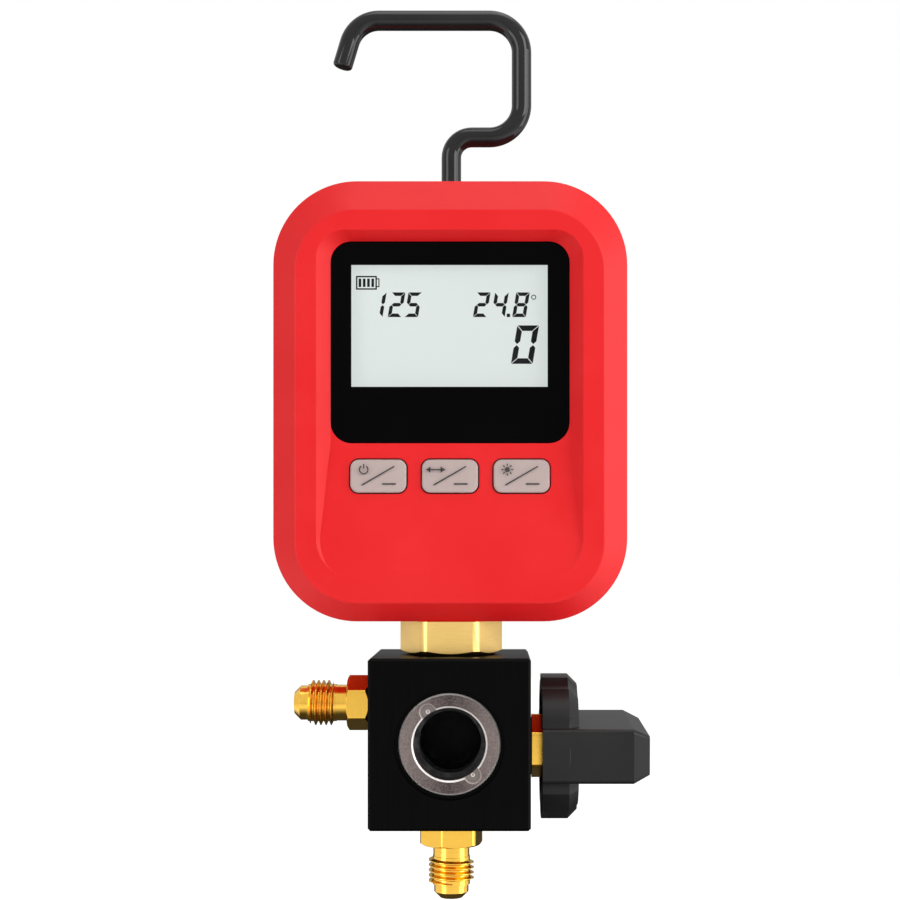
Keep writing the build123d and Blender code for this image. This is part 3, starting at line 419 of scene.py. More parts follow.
def window_glass(name, centre, half_width, half_height):
    """Black-backed lens: dark all round, clear over the display."""
    finish = Finish(name, specular_ior_level=0.02, ior=1.49)
    across, _, up = finish.parts(finish.moved(centre=centre))
    wide = abs(across) < half_width
    tall = abs(up) < half_height
    clear = wide * tall
    smear = finish.noise(60.0, detail=3.0)
    finish.set(
        base_color=finish.mixed(smear, (0.0010, 0.0010, 0.0012), (0.0018, 0.0017, 0.0020)),
        roughness=smear * 0.05 + 0.06,
        alpha=1.0 - clear * 0.97,
    )
    return finish.material


def clear_glass(name, colour, alpha):
    """Thick clear sight glass."""
    finish = Finish(name, ior=1.5, specular_ior_level=0.15)
    smear = finish.noise(150.0)
    finish.set(
        base_color=finish.mixed(smear, colour, lighter(colour, 0.02)),
        roughness=smear * 0.06 + 0.05,
        alpha=smear * 0.02 + alpha,
    )
    return finish.material


def display_with_painted_glow(name, colour):
    """Pale liquid crystal face with a fine cell grid; its glow is painted light that stands in for the
    even light on the face.
    """
    # painted light: the face glows so that it looks evenly lit, and its lit base colour is kept dark
    finish = Finish(name, specular_ior_level=0.2, emission_strength=0.79)
    drift = finish.noise(24.0, detail=1.0)
    cells = finish.noise(4200.0, detail=1.0)
    face = finish.mixed(drift * 0.6 + cells * 0.25, darker(colour, 0.93), colour)
    unlit = finish.mixed(drift, darker(colour, 0.20), darker(colour, 0.24))
    finish.set(base_color=unlit, emission_color=face, roughness=cells * 0.1 + 0.4)
    return finish.material


def board_finish(name, colour):
    """Printed board: solder mask with lighter tracks and pale pads."""
    finish = Finish(name, specular_ior_level=0.5)
    pitch = 1.7 * MM
    across, _, up = finish.parts(finish.moved((1 / pitch,) * 3))
    track = across.zigzag()
    cross = up.zigzag()
    copper = (track < 0.22) * (cross > 0.18)
    pads = (abs(track - 0.5) < 0.16) * (cross < 0.12)
    masked = finish.mixed(copper, colour, lighter(colour, 0.10))
    finish.set(
        base_color=finish.mixed(pads, masked, tint(205, 190, 120)),
        roughness=pads * -0.1 + 0.42,
        metallic=pads * 0.8,
    )
    finish.relief(copper, 0.03)
    return finish.material


def cell_finish(name, colour):
    """Printed cell jacket with a pale band by one end."""
    finish = Finish(name, coat_weight=0.3, coat_roughness=0.2)
    _, _, up = finish.parts(finish.place)
    band_pitch = 9 * MM
    band = (up / band_pitch).zigzag() < 0.2
    grain = finish.noise(300.0)
    finish.set(
        base_color=finish.mixed(band, colour, tint(196, 190, 176)),
        roughness=grain * 0.1 + 0.3,
    )
    return finish.material


def build_finishes(colours):
    """Every material of the gauge, by the record's slot name."""
    steel = tint(188, 188, 186)
    return {
        "red_shell": moulded("red_shell", colours.shell, 0.46, 0.010, specular_ior_level=0.26),
        "black_lacquer": lacquered("black_lacquer", colours.lacquer),
        "zinc_steel": streaked("zinc_steel", steel, 0.34, (900, 900, 900)),
        "black_nylon": moulded("black_nylon", tint(24, 24, 25), 0.52),
        "dark_rubber": rubber("dark_rubber", tint(26, 26, 27)),
        "black_screw": streaked("black_screw", tint(44, 43, 44), 0.36, (1500, 1500, 1500), 0.8),
        "cell_jacket": cell_finish("cell_jacket", tint(34, 58, 96)),
        "bright_nickel": streaked("bright_nickel", tint(214, 210, 200), 0.25, (1200, 1200, 1200)),
        "light_guide": moulded("light_guide", tint(236, 238, 240), 0.3),
        "display_face": display_with_painted_glow("display_face", colours.display),
        "board_green": board_finish("board_green", tint(22, 84, 50)),
        "dark_plastic": moulded("dark_plastic", tint(30, 30, 32), 0.45),
        "key_grey": moulded("key_grey", colours.keys, 0.55, 0.006, 0.06, specular_ior_level=0.25),
        "satin_brass": streaked("satin_brass", colours.satin, 0.34, (240, 240, 2600), contrast=0.12),
        "polished_brass": streaked("polished_brass", colours.brass, 0.2, (2600, 160, 160), contrast=0.16),
        "turned_brass": streaked("turned_brass", colours.brass, 0.2, (160, 160, 2600), contrast=0.16),
        "black_anodised": streaked(
            "black_anodised",
            colours.anodised,
            0.34,
            (2400, 2400, 60),
            metallic=0.0,
            contrast=0.7,
            depth=0.003,
            specular_ior_level=0.035,
        ),
        "ring_edge": streaked(
            "ring_edge", tint(238, 232, 228), 0.34, (1500, 1500, 1500), 0.3, contrast=0.08
        ),
        "sight_glass": clear_glass("sight_glass", tint(12, 12, 13), 0.02),
        "white_pad": moulded("white_pad", tint(232, 230, 224), 0.5),
        "knob_black": moulded("knob_black", colours.knob, 0.36, 0.012, 0.12, specular_ior_level=0.2),
        "digit_ink": moulded("digit_ink", colours.digits, 0.5, specular_ior_level=0.1),
        "mark_ink": moulded("mark_ink", tint(40, 38, 38), 0.6),
    }


def finish_of(slot):
    """The material that was built for a slot."""
    material = bpy.data.materials.get(slot)
    if material is None:
        raise RuntimeError(f"no finish named {slot}; run the finishes operator first")
    return material


def paint(node, slot):
    """Gives a CAD node its finish, and leaves its mesh as it is."""
    shown = frame["nodes"][node]
    shown.data.materials.clear()
    shown.data.materials.append(finish_of(slot))
    return shown


def shown_object(name, mesh, slot):
    """Links a mesh as an object at the origin, with its finish."""
    mesh.materials.clear()
    mesh.materials.append(finish_of(slot))
    shown = bpy.data.objects.new(name, mesh)
    bpy.context.scene.collection.objects.link(shown)
    return shown


def named_slot(shown):
    """Returns the object as it is."""
    return shown


def merged_mesh(node):
    """A copy of a CAD node's mesh with its corners joined and its flat faces whole."""
    mesh = frame["nodes"][node].data.copy()
    mesh.name = node + "_surface"
    work = bmesh.new()
    work.from_mesh(mesh)
    bmesh.ops.remove_doubles(work, verts=work.verts, dist=MERGE)
    loose = [face for face in work.faces if face.calc_area() < MERGE * MERGE]
    bmesh.ops.delete(work, geom=loose, context="FACES_ONLY")
    bmesh.ops.dissolve_limit(
        work, angle_limit=FLAT, use_dissolve_boundaries=False, verts=work.verts, edges=work.edges
    )
    work.to_mesh(mesh)
    work.free()
    if "custom_normal" in mesh.attributes:
        mesh.attributes.remove(mesh.attributes["custom_normal"])
    return mesh


def soften(shown, edge, crease=CREASE):
    """Rounds the sharp edges and shades the curves smooth."""
    if edge > 0:
        bevel = shown.modifiers.new("edges", "BEVEL")
        bevel.width = edge
        bevel.segments = 3 if edge > WIDE_BREAK else 2
        bevel.limit_method = "ANGLE"
        bevel.angle_limit = crease
        bevel.use_clamp_overlap = True
        bevel.miter_outer = "MITER_ARC"
    shown.data.shade_smooth()
    shown.data.set_sharp_from_angle(angle=crease)
    if edge > 0:
        weighted = shown.modifiers.new("shading", "WEIGHTED_NORMAL")
        weighted.keep_sharp = True
        weighted.weight = 60


def refine(node, slot, edge=0.0, crease=CREASE):
    """A finished copy of a CAD node that is shown in its place."""
    shown = shown_object(node + "_finished", merged_mesh(node), slot)
    soften(shown, edge, crease)
    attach(shown, frame["nodes"][node]["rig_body"])
    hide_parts(node)
    return named_slot(shown)


def prism(work, outline, front, back):
    """Adds a flat plate to a mesh: an outline of (x, z) drawn between two y planes."""
    near = [work.verts.new((x, front, z)) for x, z in outline]
    far = [work.verts.new((x, back, z)) for x, z in outline]
    count = len(outline)
    work.faces.new(near)
    work.faces.new(list(reversed(far)))
    for i in range(count):
        j = (i + 1) % count
        work.faces.new((near[j], near[i], far[i], far[j]))


def printed(name, outlines, face_y, slot, body, thickness):
    """Flat marks that lie on a face turned to -Y."""
    work = bmesh.new()
    for outline in outlines:
        prism(work, outline, face_y - thickness, face_y + SUNK)
    bmesh.ops.recalc_face_normals(work, faces=work.faces)
    mesh = bpy.data.meshes.new(name)
    work.to_mesh(mesh)
    work.free()
    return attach(shown_object(name, mesh, slot), body)


# The lit bars of each number. From a to g they are the top, upper right, lower right, bottom,
# lower left, upper left and middle bar.
SEGMENTS = {
    "0": "abcdef",
    "1": "bc",
    "2": "abged",
    "4": "fgbc",
    "5": "afgcd",
    "8": "abcdefg",
}


def bar_outline(start, end, thickness):
    """A bar with pointed ends between two points."""
    along = (end - start).normalized()
    side = Vector((-along.y, along.x)) * thickness / 2
    tip = along * thickness / 2
    upper = (start + tip + side, end - tip + side)
    lower = (end - tip - side, start + tip - side)
    return [tuple(point) for point in (start, *upper, end, *lower)]


def digit_outlines(value, left, bottom, width, height, bar, lean):
    """The lit bars of one number, leaning to the right, long on their outer side."""
    gap = bar * 0.09  # left between two bars
    half, middle = bar / 2, height / 2
    top = [(gap, 0), (width - gap, 0), (width - bar - gap, bar), (bar + gap, bar)]
    side = [
        (0, gap),
        (bar, bar + gap),
        (bar, middle - half - gap),
        (half, middle - gap),
        (0, middle - half - gap),
    ]
    bridge = [
        (half + gap, middle),
        (bar + gap, middle - half),
        (width - bar - gap, middle - half),
        (width - half - gap, middle),
        (width - bar - gap, middle + half),
        (bar + gap, middle + half),
    ]
    bars = {
        "a": [(x, height - z) for x, z in top],
        "b": [(width - x, height - z) for x, z in side],
        "c": [(width - x, z) for x, z in side],
        "d": top,
        "e": side,
        "f": [(x, height - z) for x, z in side],
        "g": bridge,
    }
    outlines = []
    for bar_name in SEGMENTS[value]:
        outlines.append([(left + x + z * lean, bottom + z) for x, z in bars[bar_name]])
    return outlines


def ring_outlines(x, z, radius, width, count=20, start=0.0, sweep=360.0):
    """An open or whole ring as short pieces."""
    outlines = []
    for i in range(count):
        first = math.radians(start + sweep * i / count)
        last = math.radians(start + sweep * (i + 1) / count)
        inner = radius - width
        corners = []
        for angle, reach in ((first, radius), (last, radius), (last, inner), (first, inner)):
            corners.append((x + reach * math.cos(angle), z + reach * math.sin(angle)))
        outlines.append(corners)
    return outlines


def rectangle(x, z, width, height):
    """The outline of an upright rectangle about its middle."""
    return [
        (x - width / 2, z - height / 2),
        (x + width / 2, z - height / 2),
        (x + width / 2, z + height / 2),
        (x - width / 2, z + height / 2),
    ]


def disc(x, z, radius, count=24):
    """The outline of a round dot."""
    turns = [2 * math.pi * i / count for i in range(count)]
    return [(x + radius * math.cos(turn), z + radius * math.sin(turn)) for turn in turns]


class Shape(Tree):
    """A Geometry Nodes tree with named inputs, run once into a plain mesh."""

    def __init__(self, name, inputs):
        tree = bpy.data.node_groups.new(name, "GeometryNodeTree")
        super().__init__(tree)
        kinds = {int: "NodeSocketInt", float: "NodeSocketFloat", tuple: "NodeSocketVector"}
        self.settings = {}
        for title, value in inputs.items():
            socket = tree.interface.new_socket(
                name=title, in_out="INPUT", socket_type=kinds[type(value)]
            )
            self.settings[socket.identifier] = value
        tree.interface.new_socket(
            name="Geometry", in_out="OUTPUT", socket_type="NodeSocketGeometry"
        )
        group = tree.nodes.new("NodeGroupInput")
        self.inputs = {title: Link(self, group.outputs[title]) for title in inputs}

    def made(self, geometry, slot):
        """Ends the tree, runs it and returns its result as a mesh."""
        whole = self.node("GeometryNodeRealizeInstances", None, {0: geometry})
        values = {"Geometry": whole, "Material": finish_of(slot)}
        painted = self.node("GeometryNodeSetMaterial", None, values)
        end = self.tree.nodes.new("NodeGroupOutput")
        self.put(end.inputs[0], painted)
        holder = bpy.data.objects.new(self.tree.name, bpy.data.meshes.new(self.tree.name))
        bpy.context.scene.collection.objects.link(holder)
        modifier = holder.modifiers.new("shape", "NODES")
        modifier.node_group = self.tree
        for identifier, value in self.settings.items():
            modifier[identifier] = value
        evaluated = holder.evaluated_get(bpy.context.evaluated_depsgraph_get())
        mesh = bpy.data.meshes.new_from_object(evaluated)
        holder.modifiers.remove(modifier)
        bpy.data.objects.remove(holder)
        return mesh


def thread_ridge(name, sizes, slot, start, turn):
    """The spiral ridge of a union's thread, from its first turn outwards along an axis."""
    buried = 0.1 * MM
    height = (sizes.thread_crest - sizes.thread_root) / 2 + buried
    ridge = sizes.thread_pitch * 0.92
    turns = (sizes.thread_length - ridge) / sizes.thread_pitch
    shape = Shape(
        name,
        {
            "Middle radius": (sizes.thread_crest - height) / 2,
            "Turns": turns,
            "Reach": turns * sizes.thread_pitch,
            "Ridge height": height,
            "Root width": ridge,
            "Crest width": sizes.thread_pitch * 0.14,
            "Run out": 0.045,
            "Start": start,
            "Turn": turn,
        },
    )
    given = shape.inputs
    spiral = shape.node(
        "GeometryNodeCurveSpiral",
        None,
        {
            "Resolution": 40,
            "Rotations": given["Turns"],
            "Start Radius": given["Middle radius"],
            "End Radius": given["Middle radius"],
            "Height": given["Reach"],
        },
    )
    upright = shape.node("GeometryNodeSetCurveNormal", {"mode": "Z_UP"}, {0: spiral})
    profile = shape.node(
        "GeometryNodeCurvePrimitiveQuadrilateral",
        {"mode": "TRAPEZOID"},
        {
            "Height": given["Ridge height"],
            "Bottom Width": given["Root width"],
            "Top Width": given["Crest width"],
            "Offset": 0.0,
        },
    )
    outwards = shape.node(
        "GeometryNodeTransform", None, {"Geometry": profile, "Rotation": (0, 0, math.radians(90))}
    )
    along = shape.node("GeometryNodeSplineParameter")
    ends = along.lowest(1.0 - along) / given["Run out"]
    ridge_mesh = shape.node(
        "GeometryNodeCurveToMesh",
        None,
        {
            "Curve": upright,
            "Profile Curve": outwards,
            "Scale": ends.lowest(1.0).highest(0.15),
            "Fill Caps": True,
        },
    )
    placed = shape.node(
        "GeometryNodeTransform",
        None,
        {"Geometry": ridge_mesh, "Translation": given["Start"], "Rotation": given["Turn"]},
    )
    return shape.made(placed, slot)


def bar_row(name, count, first, step, bar, slot):
    """A row of like upright bars."""
    shape = Shape(name, {"Count": count, "First": first, "Step": step, "Bar": bar})
    given = shape.inputs
    row = shape.node(
        "GeometryNodeMeshLine",
        {"mode": "OFFSET"},
        {"Count": given["Count"], "Start Location": given["First"], "Offset": given["Step"]},
    )
    block = shape.node("GeometryNodeMeshCube", None, {"Size": given["Bar"]})
    bars = shape.node("GeometryNodeInstanceOnPoints", None, {"Points": row, "Instance": block})
    return shape.made(bars, slot)


def ray_ring(name, count, radius, centre, ray, slot):
    """Short rays round a point, on a face turned to -Y."""
    shape = Shape(name, {"Count": count, "Radius": radius, "Centre": centre, "Ray": ray})
    given = shape.inputs
    ring = shape.node(
        "GeometryNodeMeshCircle", None, {"Vertices": given["Count"], "Radius": given["Radius"]}
    )
    place = shape.node("GeometryNodeInputPosition")
    aim = shape.node("FunctionNodeAlignRotationToVector", {"axis": "X"}, {"Vector": place})
    block = shape.node("GeometryNodeMeshCube", None, {"Size": given["Ray"]})
    rays = shape.node(
        "GeometryNodeInstanceOnPoints", None, {"Points": ring, "Instance": block, "Rotation": aim}
    )
    placed = shape.node(
        "GeometryNodeTransform",
        None,
        {
            "Geometry": rays,
            "Translation": given["Centre"],
            "Rotation": (math.radians(90), 0, 0),
        },
    )
    return shape.made(placed, slot)


def turned_ring(inner, outer, near, far, axis_point, turn):
    """A plain ring about an axis, closed, as a cutting tool."""
    work = bmesh.new()
    loops = []
    count = 96  # facets round the ring
    for radius, along in ((inner, near), (outer, near), (outer, far), (inner, far)):
        loop = []
        for i in range(count):
            angle = 2 * math.pi * i / count
            point = Vector((radius * math.cos(angle), radius * math.sin(angle), along))
            loop.append(work.verts.new(turn @ point + axis_point))
        loops.append(loop)
    for k in range(4):
        first, second = loops[k], loops[(k + 1) % 4]
        for i in range(count):
            j = (i + 1) % count
            work.faces.new((first[i], first[j], second[j], second[i]))
    bmesh.ops.recalc_face_normals(work, faces=work.faces)
    mesh = bpy.data.meshes.new("thread_space")
    work.to_mesh(mesh)
    work.free()
    return mesh


def cut_away(mesh, tool):
    """The mesh with a tool's room taken out of it."""
    body = bpy.data.objects.new("body_work", mesh)
    cutter = bpy.data.objects.new("tool_work", tool)
    for item in (body, cutter):
        bpy.context.scene.collection.objects.link(item)
    step = body.modifiers.new("cut", "BOOLEAN")
    step.operation = "DIFFERENCE"
    step.solver = "EXACT"
    step.object = cutter
    evaluated = body.evaluated_get(bpy.context.evaluated_depsgraph_get())
    result = bpy.data.meshes.new_from_object(evaluated)
    body.modifiers.remove(step)
    bpy.data.objects.remove(body)
    bpy.data.objects.remove(cutter)
    return result


def threaded_union(node, sizes, slot, outwards, place):
    """A union with its thread cut to the root and its spiral ridge set on."""
    low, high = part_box(node)
    turn = Vector((0, 0, 1)).rotation_difference(outwards)
    tip = max(low.dot(outwards), high.dot(outwards))
    overrun = 0.05 * MM
    fewest_faces = 50
    thread_end = tip - sizes.nose_length
    thread_start = thread_end - sizes.thread_length
    across = place - outwards * place.dot(outwards)
    tool = turned_ring(
        sizes.thread_root / 2,
        sizes.thread_crest,
        thread_start,
        thread_end + overrun,
        across,
        turn.to_matrix(),
    )
    mesh = cut_away(merged_mesh(node), tool)
    if len(mesh.polygons) < fewest_faces:
        raise RuntimeError(f"the thread of {node} was not cut")
    core = shown_object(node + "_finished", mesh, slot)
    soften(core, 0.18 * MM)
    first = across + outwards * (thread_start + sizes.thread_pitch * 0.5)
    angles = turn.to_euler()
    ridge = thread_ridge(node + "_thread", sizes, slot, tuple(first), tuple(angles))
    shown = shown_object(node + "_thread", ridge, slot)
    shown.data.shade_smooth()
    shown.data.set_sharp_from_angle(angle=CREASE)
    body = frame["nodes"][node]["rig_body"]
    for piece in (core, shown):
        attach(piece, body)
        named_slot(piece)
    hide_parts(node)
    return core


class GaugeOperator(bpy.types.Operator):
    """Base of the gauge's operators."""

    bl_options = {"REGISTER"}

    @property
    def sizes(self):
        return bpy.context.scene.gauge_sizes

    @property
    def colours(self):
        return bpy.context.scene.gauge_colours


class GAUGE_OT_finishes(GaugeOperator):
    """Builds the procedural materials."""

    bl_idname = "gauge.finishes"
    bl_label = "Finishes"

    def execute(self, context):
        for plain in bpy.data.materials:
            plain.name = "frame_" + plain.name
        build_finishes(self.colours)
        return {"FINISHED"}


class GAUGE_OT_hook(GaugeOperator):
    """Dresses the hook and its swivel."""

    bl_idname = "gauge.hook"
    bl_label = "Hook"

    def execute(self, context):
        refine("hook_rod", "black_lacquer")
        refine("hook_bushing", "black_nylon", FINE_BREAK)
        paint("hook_clip", "zinc_steel")
        paint("hook_washer", "black_nylon")
        return {"FINISHED"}


def shade_opening_walls(shell):
    """Gives the walls round the display that the window shows a dark finish: painted shade in the opening
    behind the window.
    """
    shell.data.materials.append(finish_of("dark_plastic"))
    near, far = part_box("display_window")
    back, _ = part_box("lcd_panel")
    first, last = far.y - 0.1 * MM, back.y + 1 * MM
    for face in shell.data.polygons:
        place = face.center
        inside = near.x < place.x < far.x and near.z < place.z < far.z
        # painted shade: these red walls in the opening get the dark finish
        if inside and first < place.y < last and abs(face.normal.y) < 0.3:
            face.material_index = 1


class GAUGE_OT_case(GaugeOperator):
    """Dresses the red housing, its seal, cover and screws."""

    bl_idname = "gauge.case"
    bl_label = "Case"

    def execute(self, context):
        edge = self.sizes.mould_edge
        shade_opening_walls(refine("front_case", "red_shell", edge))
        refine("rear_case", "red_shell", edge * 0.6)
        refine("battery_cover", "red_shell", edge * 0.4)
        refine("case_screws", "black_screw", SCREW_BREAK)
        refine("cover_screws", "black_screw", SCREW_BREAK)
        paint("case_seal", "dark_rubber")
        paint("cover_gasket", "dark_rubber")
        return {"FINISHED"}


# Where the numbers stand, in millimetres from the middle of the display
DIGIT_LEAN = math.tan(math.radians(9.5))
SMALL_FOOT = 2.35  # foot of the small numbers
SMALL_NUMBERS = (("1", -19.5), ("2", -15.0), ("5", -11.0), ("2", 5.4), ("4", 9.75), ("8", 14.8))
POINT_LEFT = 13.9
DEGREE_PLACE = (19.95, 4.75)  # the second is above the foot of the small numbers
LARGE_NUMBER = ("0", 14.5, -8.85)
BATTERY_PLACE = (-20.1, 10.55)


def display_outlines(centre, sizes):
    """Every number on the display, with its point and degree ring."""
    foot = centre.z + SMALL_FOOT * MM
    small = (sizes.digit_width, sizes.digit_height, sizes.digit_bar, DIGIT_LEAN)
    outlines = []
    for value, left in SMALL_NUMBERS:
        outlines += digit_outlines(value, centre.x + left * MM, foot, *small)
    point = 0.8 * MM
    outlines.append(rectangle(centre.x + POINT_LEFT * MM, foot + point / 2, point, point))
    along, rise = DEGREE_PLACE
    outlines += ring_outlines(centre.x + along * MM, foot + rise * MM, 0.6 * MM, 0.2 * MM)
    value, left, low = LARGE_NUMBER
    large = (sizes.big_width, sizes.big_height, sizes.big_bar, DIGIT_LEAN)
    outlines += digit_outlines(value, centre.x + left * MM, centre.z + low * MM, *large)
    return outlines


def battery_outlines(x, z):
    """A battery that lies on its side, with its nub on the right."""
    wide, tall, line = 5.0 * MM, 3.3 * MM, 0.34 * MM
    nub_wide, nub_tall, nub_line = 0.5 * MM, 2.1 * MM, 0.24 * MM
    outlines = []
    for side in (-1, 1):
        outlines.append(rectangle(x, z + side * (tall - line) / 2, wide, line))
        outlines.append(rectangle(x + side * (wide - line) / 2, z, line, tall))
    nub = x + wide / 2 + nub_wide
    outlines.append(rectangle(nub, z, nub_line, nub_tall))
    for side in (-1, 1):
        rim = z + side * (nub_tall - nub_line) / 2
        outlines.append(rectangle(nub - 0.3 * MM, rim, nub_wide, nub_line))
    return outlines


def battery_charge(x, face, z, thickness):
    """The four bars inside the battery."""
    count, pitch, wide, tall = 4, 1.02 * MM, 0.62 * MM, 2.0 * MM
    first = (x - 1.55 * MM, face + (SUNK - thickness) / 2, z)
    bar = (wide, thickness + SUNK, tall)
    bars = bar_row("battery_bars", count, first, (pitch, 0.0, 0.0), bar, "digit_ink")
    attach(shown_object("battery_bars", bars, "digit_ink"), "gauge")


class GAUGE_OT_display(GaugeOperator):
    """Dresses the window and draws the display's numbers."""

    bl_idname = "gauge.display"
    bl_label = "Display"

    def execute(self, context):
        sizes = self.sizes
        low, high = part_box("lcd_panel")
        face = low.y
        centre = Vector(((low.x + high.x) / 2, face, (low.z + high.z) / 2))
        view = centre - Vector((0.2 * MM, 0, 0))
        window_glass("display_glass", view, sizes.view_width / 2, sizes.view_height / 2)
        refine("display_window", "display_glass", 0.2 * MM)
        refine("lcd_panel", "display_face")
        paint("window_gasket", "dark_rubber")
        paint("backlight", "light_guide")
        along, rise = BATTERY_PLACE
        battery = (centre.x + along * MM, centre.z + rise * MM)
        outlines = display_outlines(centre, sizes) + battery_outlines(*battery)
        thickness = sizes.mark_thickness
        printed("display_numbers", outlines, face, "digit_ink", "gauge", thickness)
        battery_charge(battery[0], face, battery[1], thickness)
        return {"FINISHED"}


def sign_outlines(key, x, z):
    """A key's sign: on and off, an arrow both ways, or the middle of a sun."""
    line = 0.3 * MM
    if key == "left":
        ring = ring_outlines(x, z, 1.15 * MM, line, 20, 125, 290)
        return [*ring, rectangle(x, z + 0.8 * MM, line, 1.1 * MM)]
    if key == "right":
        return [disc(x, z, 0.62 * MM)]
    outlines = [rectangle(x, z, 3.0 * MM, line)]
    for side in (-1, 1):
        tip = x + side * 2.3 * MM
        wing = tip - side * 1.1 * MM
        outlines.append([(tip, z), (wing, z + 0.75 * MM), (wing, z - 0.75 * MM)])
    return outlines


def sun_rays(x, face, z, thickness, body):
    """The eight rays of the sun on the right key."""
    middle = (x, face + (SUNK - thickness) / 2, z)
    ray = (0.55 * MM, 0.26 * MM, thickness + SUNK)
    rays = ray_ring("sun_rays", 8, 1.15 * MM, middle, ray, "mark_ink")
    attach(shown_object("sun_rays", rays, "mark_ink"), body)


class GAUGE_OT_keys(GaugeOperator):
    """Dresses the three keys and prints their plain marks."""

    bl_idname = "gauge.keys"
    bl_label = "Keys"

    def execute(self, context):
        thickness = self.sizes.mark_thickness
        for key in ("left", "middle", "right"):
            node, body = "button_" + key, "key_" + key
            refine(node, "key_grey", 0.15 * MM)
            low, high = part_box(node)
            x, z, face = (low.x + high.x) / 2, (low.z + high.z) / 2, low.y
            low_end = Vector((x - 3.9 * MM, z - 2.2 * MM))
            high_end = Vector((x + 3.9 * MM, z + 2.3 * MM))
            sign_x, sign_z = x - 3.4 * MM, z + 1.5 * MM
            outlines = [bar_outline(low_end, high_end, 0.32 * MM)]
            outlines += sign_outlines(key, sign_x, sign_z)
            outlines.append(rectangle(x + 2.6 * MM, z - 1.9 * MM, 3.2 * MM, 0.34 * MM))
            if key == "right":
                sun_rays(sign_x, face, sign_z, thickness, body)
            printed("marks_" + key, outlines, face, "mark_ink", body, thickness)
        return {"FINISHED"}


class GAUGE_OT_inside(GaugeOperator):
    """Gives the pieces inside the housing their finishes."""

    bl_idname = "gauge.inside"
    bl_label = "Inside"

    def execute(self, context):
        for node, slot in (
            ("battery_cells", "cell_jacket"),
            ("battery_contacts", "bright_nickel"),
            ("circuit_board", "board_green"),
            ("board_screws", "zinc_steel"),
            ("button_switches", "dark_plastic"),
            ("sensor_nut", "zinc_steel"),
            ("sensor_o_ring", "dark_rubber"),
            ("pressure_sensor", "zinc_steel"),
        ):
            paint(node, slot)
        return {"FINISHED"}


def notch_middles(low, high):
    """The middles of the ring's two notches, on the plane of their floors."""
    centre = (low + high) / 2
    middles = []
    for angle in NOTCH_ANGLES:
        turn = math.radians(angle)
        away = Vector((math.cos(turn), 0, math.sin(turn))) * NOTCH_REACH
        middles.append(Vector((centre.x, low.y + NOTCH_DEPTH, centre.z)) + away)
    return middles


def paint_ring(ring, middles):
    """Gives the ring's chamfers, notch walls and notch floors finishes of their own."""
    for name in ("ring_edge", "notch_floor"):
        ring.data.materials.append(finish_of(name))
    edge, floor = 1, 2
    floor_y = middles[0].y
    dimple = 0.6 * MM  # room for the dimple in the floor's middle
    for face in ring.data.polygons:
        in_front = face.normal.y < -0.95
        place = Vector((face.center.x, floor_y, face.center.z))
        nearest = min((place - middle).length for middle in middles)
        if nearest < NOTCH_RADIUS and face.center.y < floor_y + dimple:
            face.material_index = floor if in_front else edge
        elif face.normal.y < -0.2 and not in_front:
            face.material_index = edge


class GAUGE_OT_block(GaugeOperator):
    """Dresses the block, the neck and the sight glass."""

    bl_idname = "gauge.block"
    bl_label = "Block"

    def execute(self, context):
        edge = self.sizes.machined_edge
        refine("valve_block", "black_anodised", self.sizes.block_edge)
        refine("sensor_neck", "satin_brass", edge)
        low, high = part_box("sight_glass_ring")
        reach = (high.x - low.x) / 2
        # the light colour is reached towards the ring's sides, where it is painted sheen
        dark, light = tint(34, 29, 28), tint(146, 132, 129)
        speckled_with_painted_sheen("plated_ring", dark, light, 0.34, (low + high) / 2, reach)
        middles = notch_middles(low, high)
        # the light colour also gives the notch floors their painted highlights
        milled("notch_floor", tint(36, 30, 29), tint(172, 160, 155), middles)
        paint_ring(refine("sight_glass_ring", "plated_ring"), middles)
        refine("sight_glass", "sight_glass", FINE_BREAK)
        paint("glass_washer", "dark_rubber")
        paint("glass_seal", "dark_rubber")
        return {"FINISHED"}


class GAUGE_OT_unions(GaugeOperator):
    """Cuts the threads of the two flare unions."""

    bl_idname = "gauge.unions"
    bl_label = "Unions"

    def execute(self, context):
        for node, slot, outwards in (
            ("left_port", "polished_brass", Vector((-1, 0, 0))),
            ("bottom_port", "turned_brass", Vector((0, 0, -1))),
        ):
            low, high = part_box(node)
            threaded_union(node, self.sizes, slot, outwards, (low + high) / 2)
        paint("left_port_seal", "dark_rubber")
        paint("bottom_port_seal", "dark_rubber")
        return {"FINISHED"}


class GAUGE_OT_valve(GaugeOperator):
    """Dresses the bonnet, the spindle and the knob."""

    bl_idname = "gauge.valve"
    bl_label = "Valve"

    def execute(self, context):
        bonnet = refine("valve_bonnet", "polished_brass", FINE_BREAK)
        low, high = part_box("valve_bonnet")
        middle = (low + high) / 2
        there, back = Matrix.Translation(middle), Matrix.Translation(-middle)
        bonnet.data.transform(there @ Matrix.Rotation(BONNET_TURN, 4, "X") @ back)
        refine("knob", "knob_black", self.sizes.knob_edge, KNOB_CREASE)
        refine("knob_cap", "knob_black", FINE_BREAK)
        paint("valve_spindle", "bright_nickel")
        paint("seat_pad", "white_pad")
        paint("knob_screw", "zinc_steel")
        paint("spindle_o_ring", "dark_rubber")
        paint("bonnet_seal", "dark_rubber")
        return {"FINISHED"}


def ray_kinds(tree):
    """Whether the eye, gloss or glass is looking, each as a 0 or 1."""
    path = tree.node("ShaderNodeLightPath")
    outputs = path.socket.node.outputs
    names = ("Is Camera Ray", "Is Glossy Ray", "Is Transmission Ray")
    return [Link(tree, outputs[name]) for name in names]


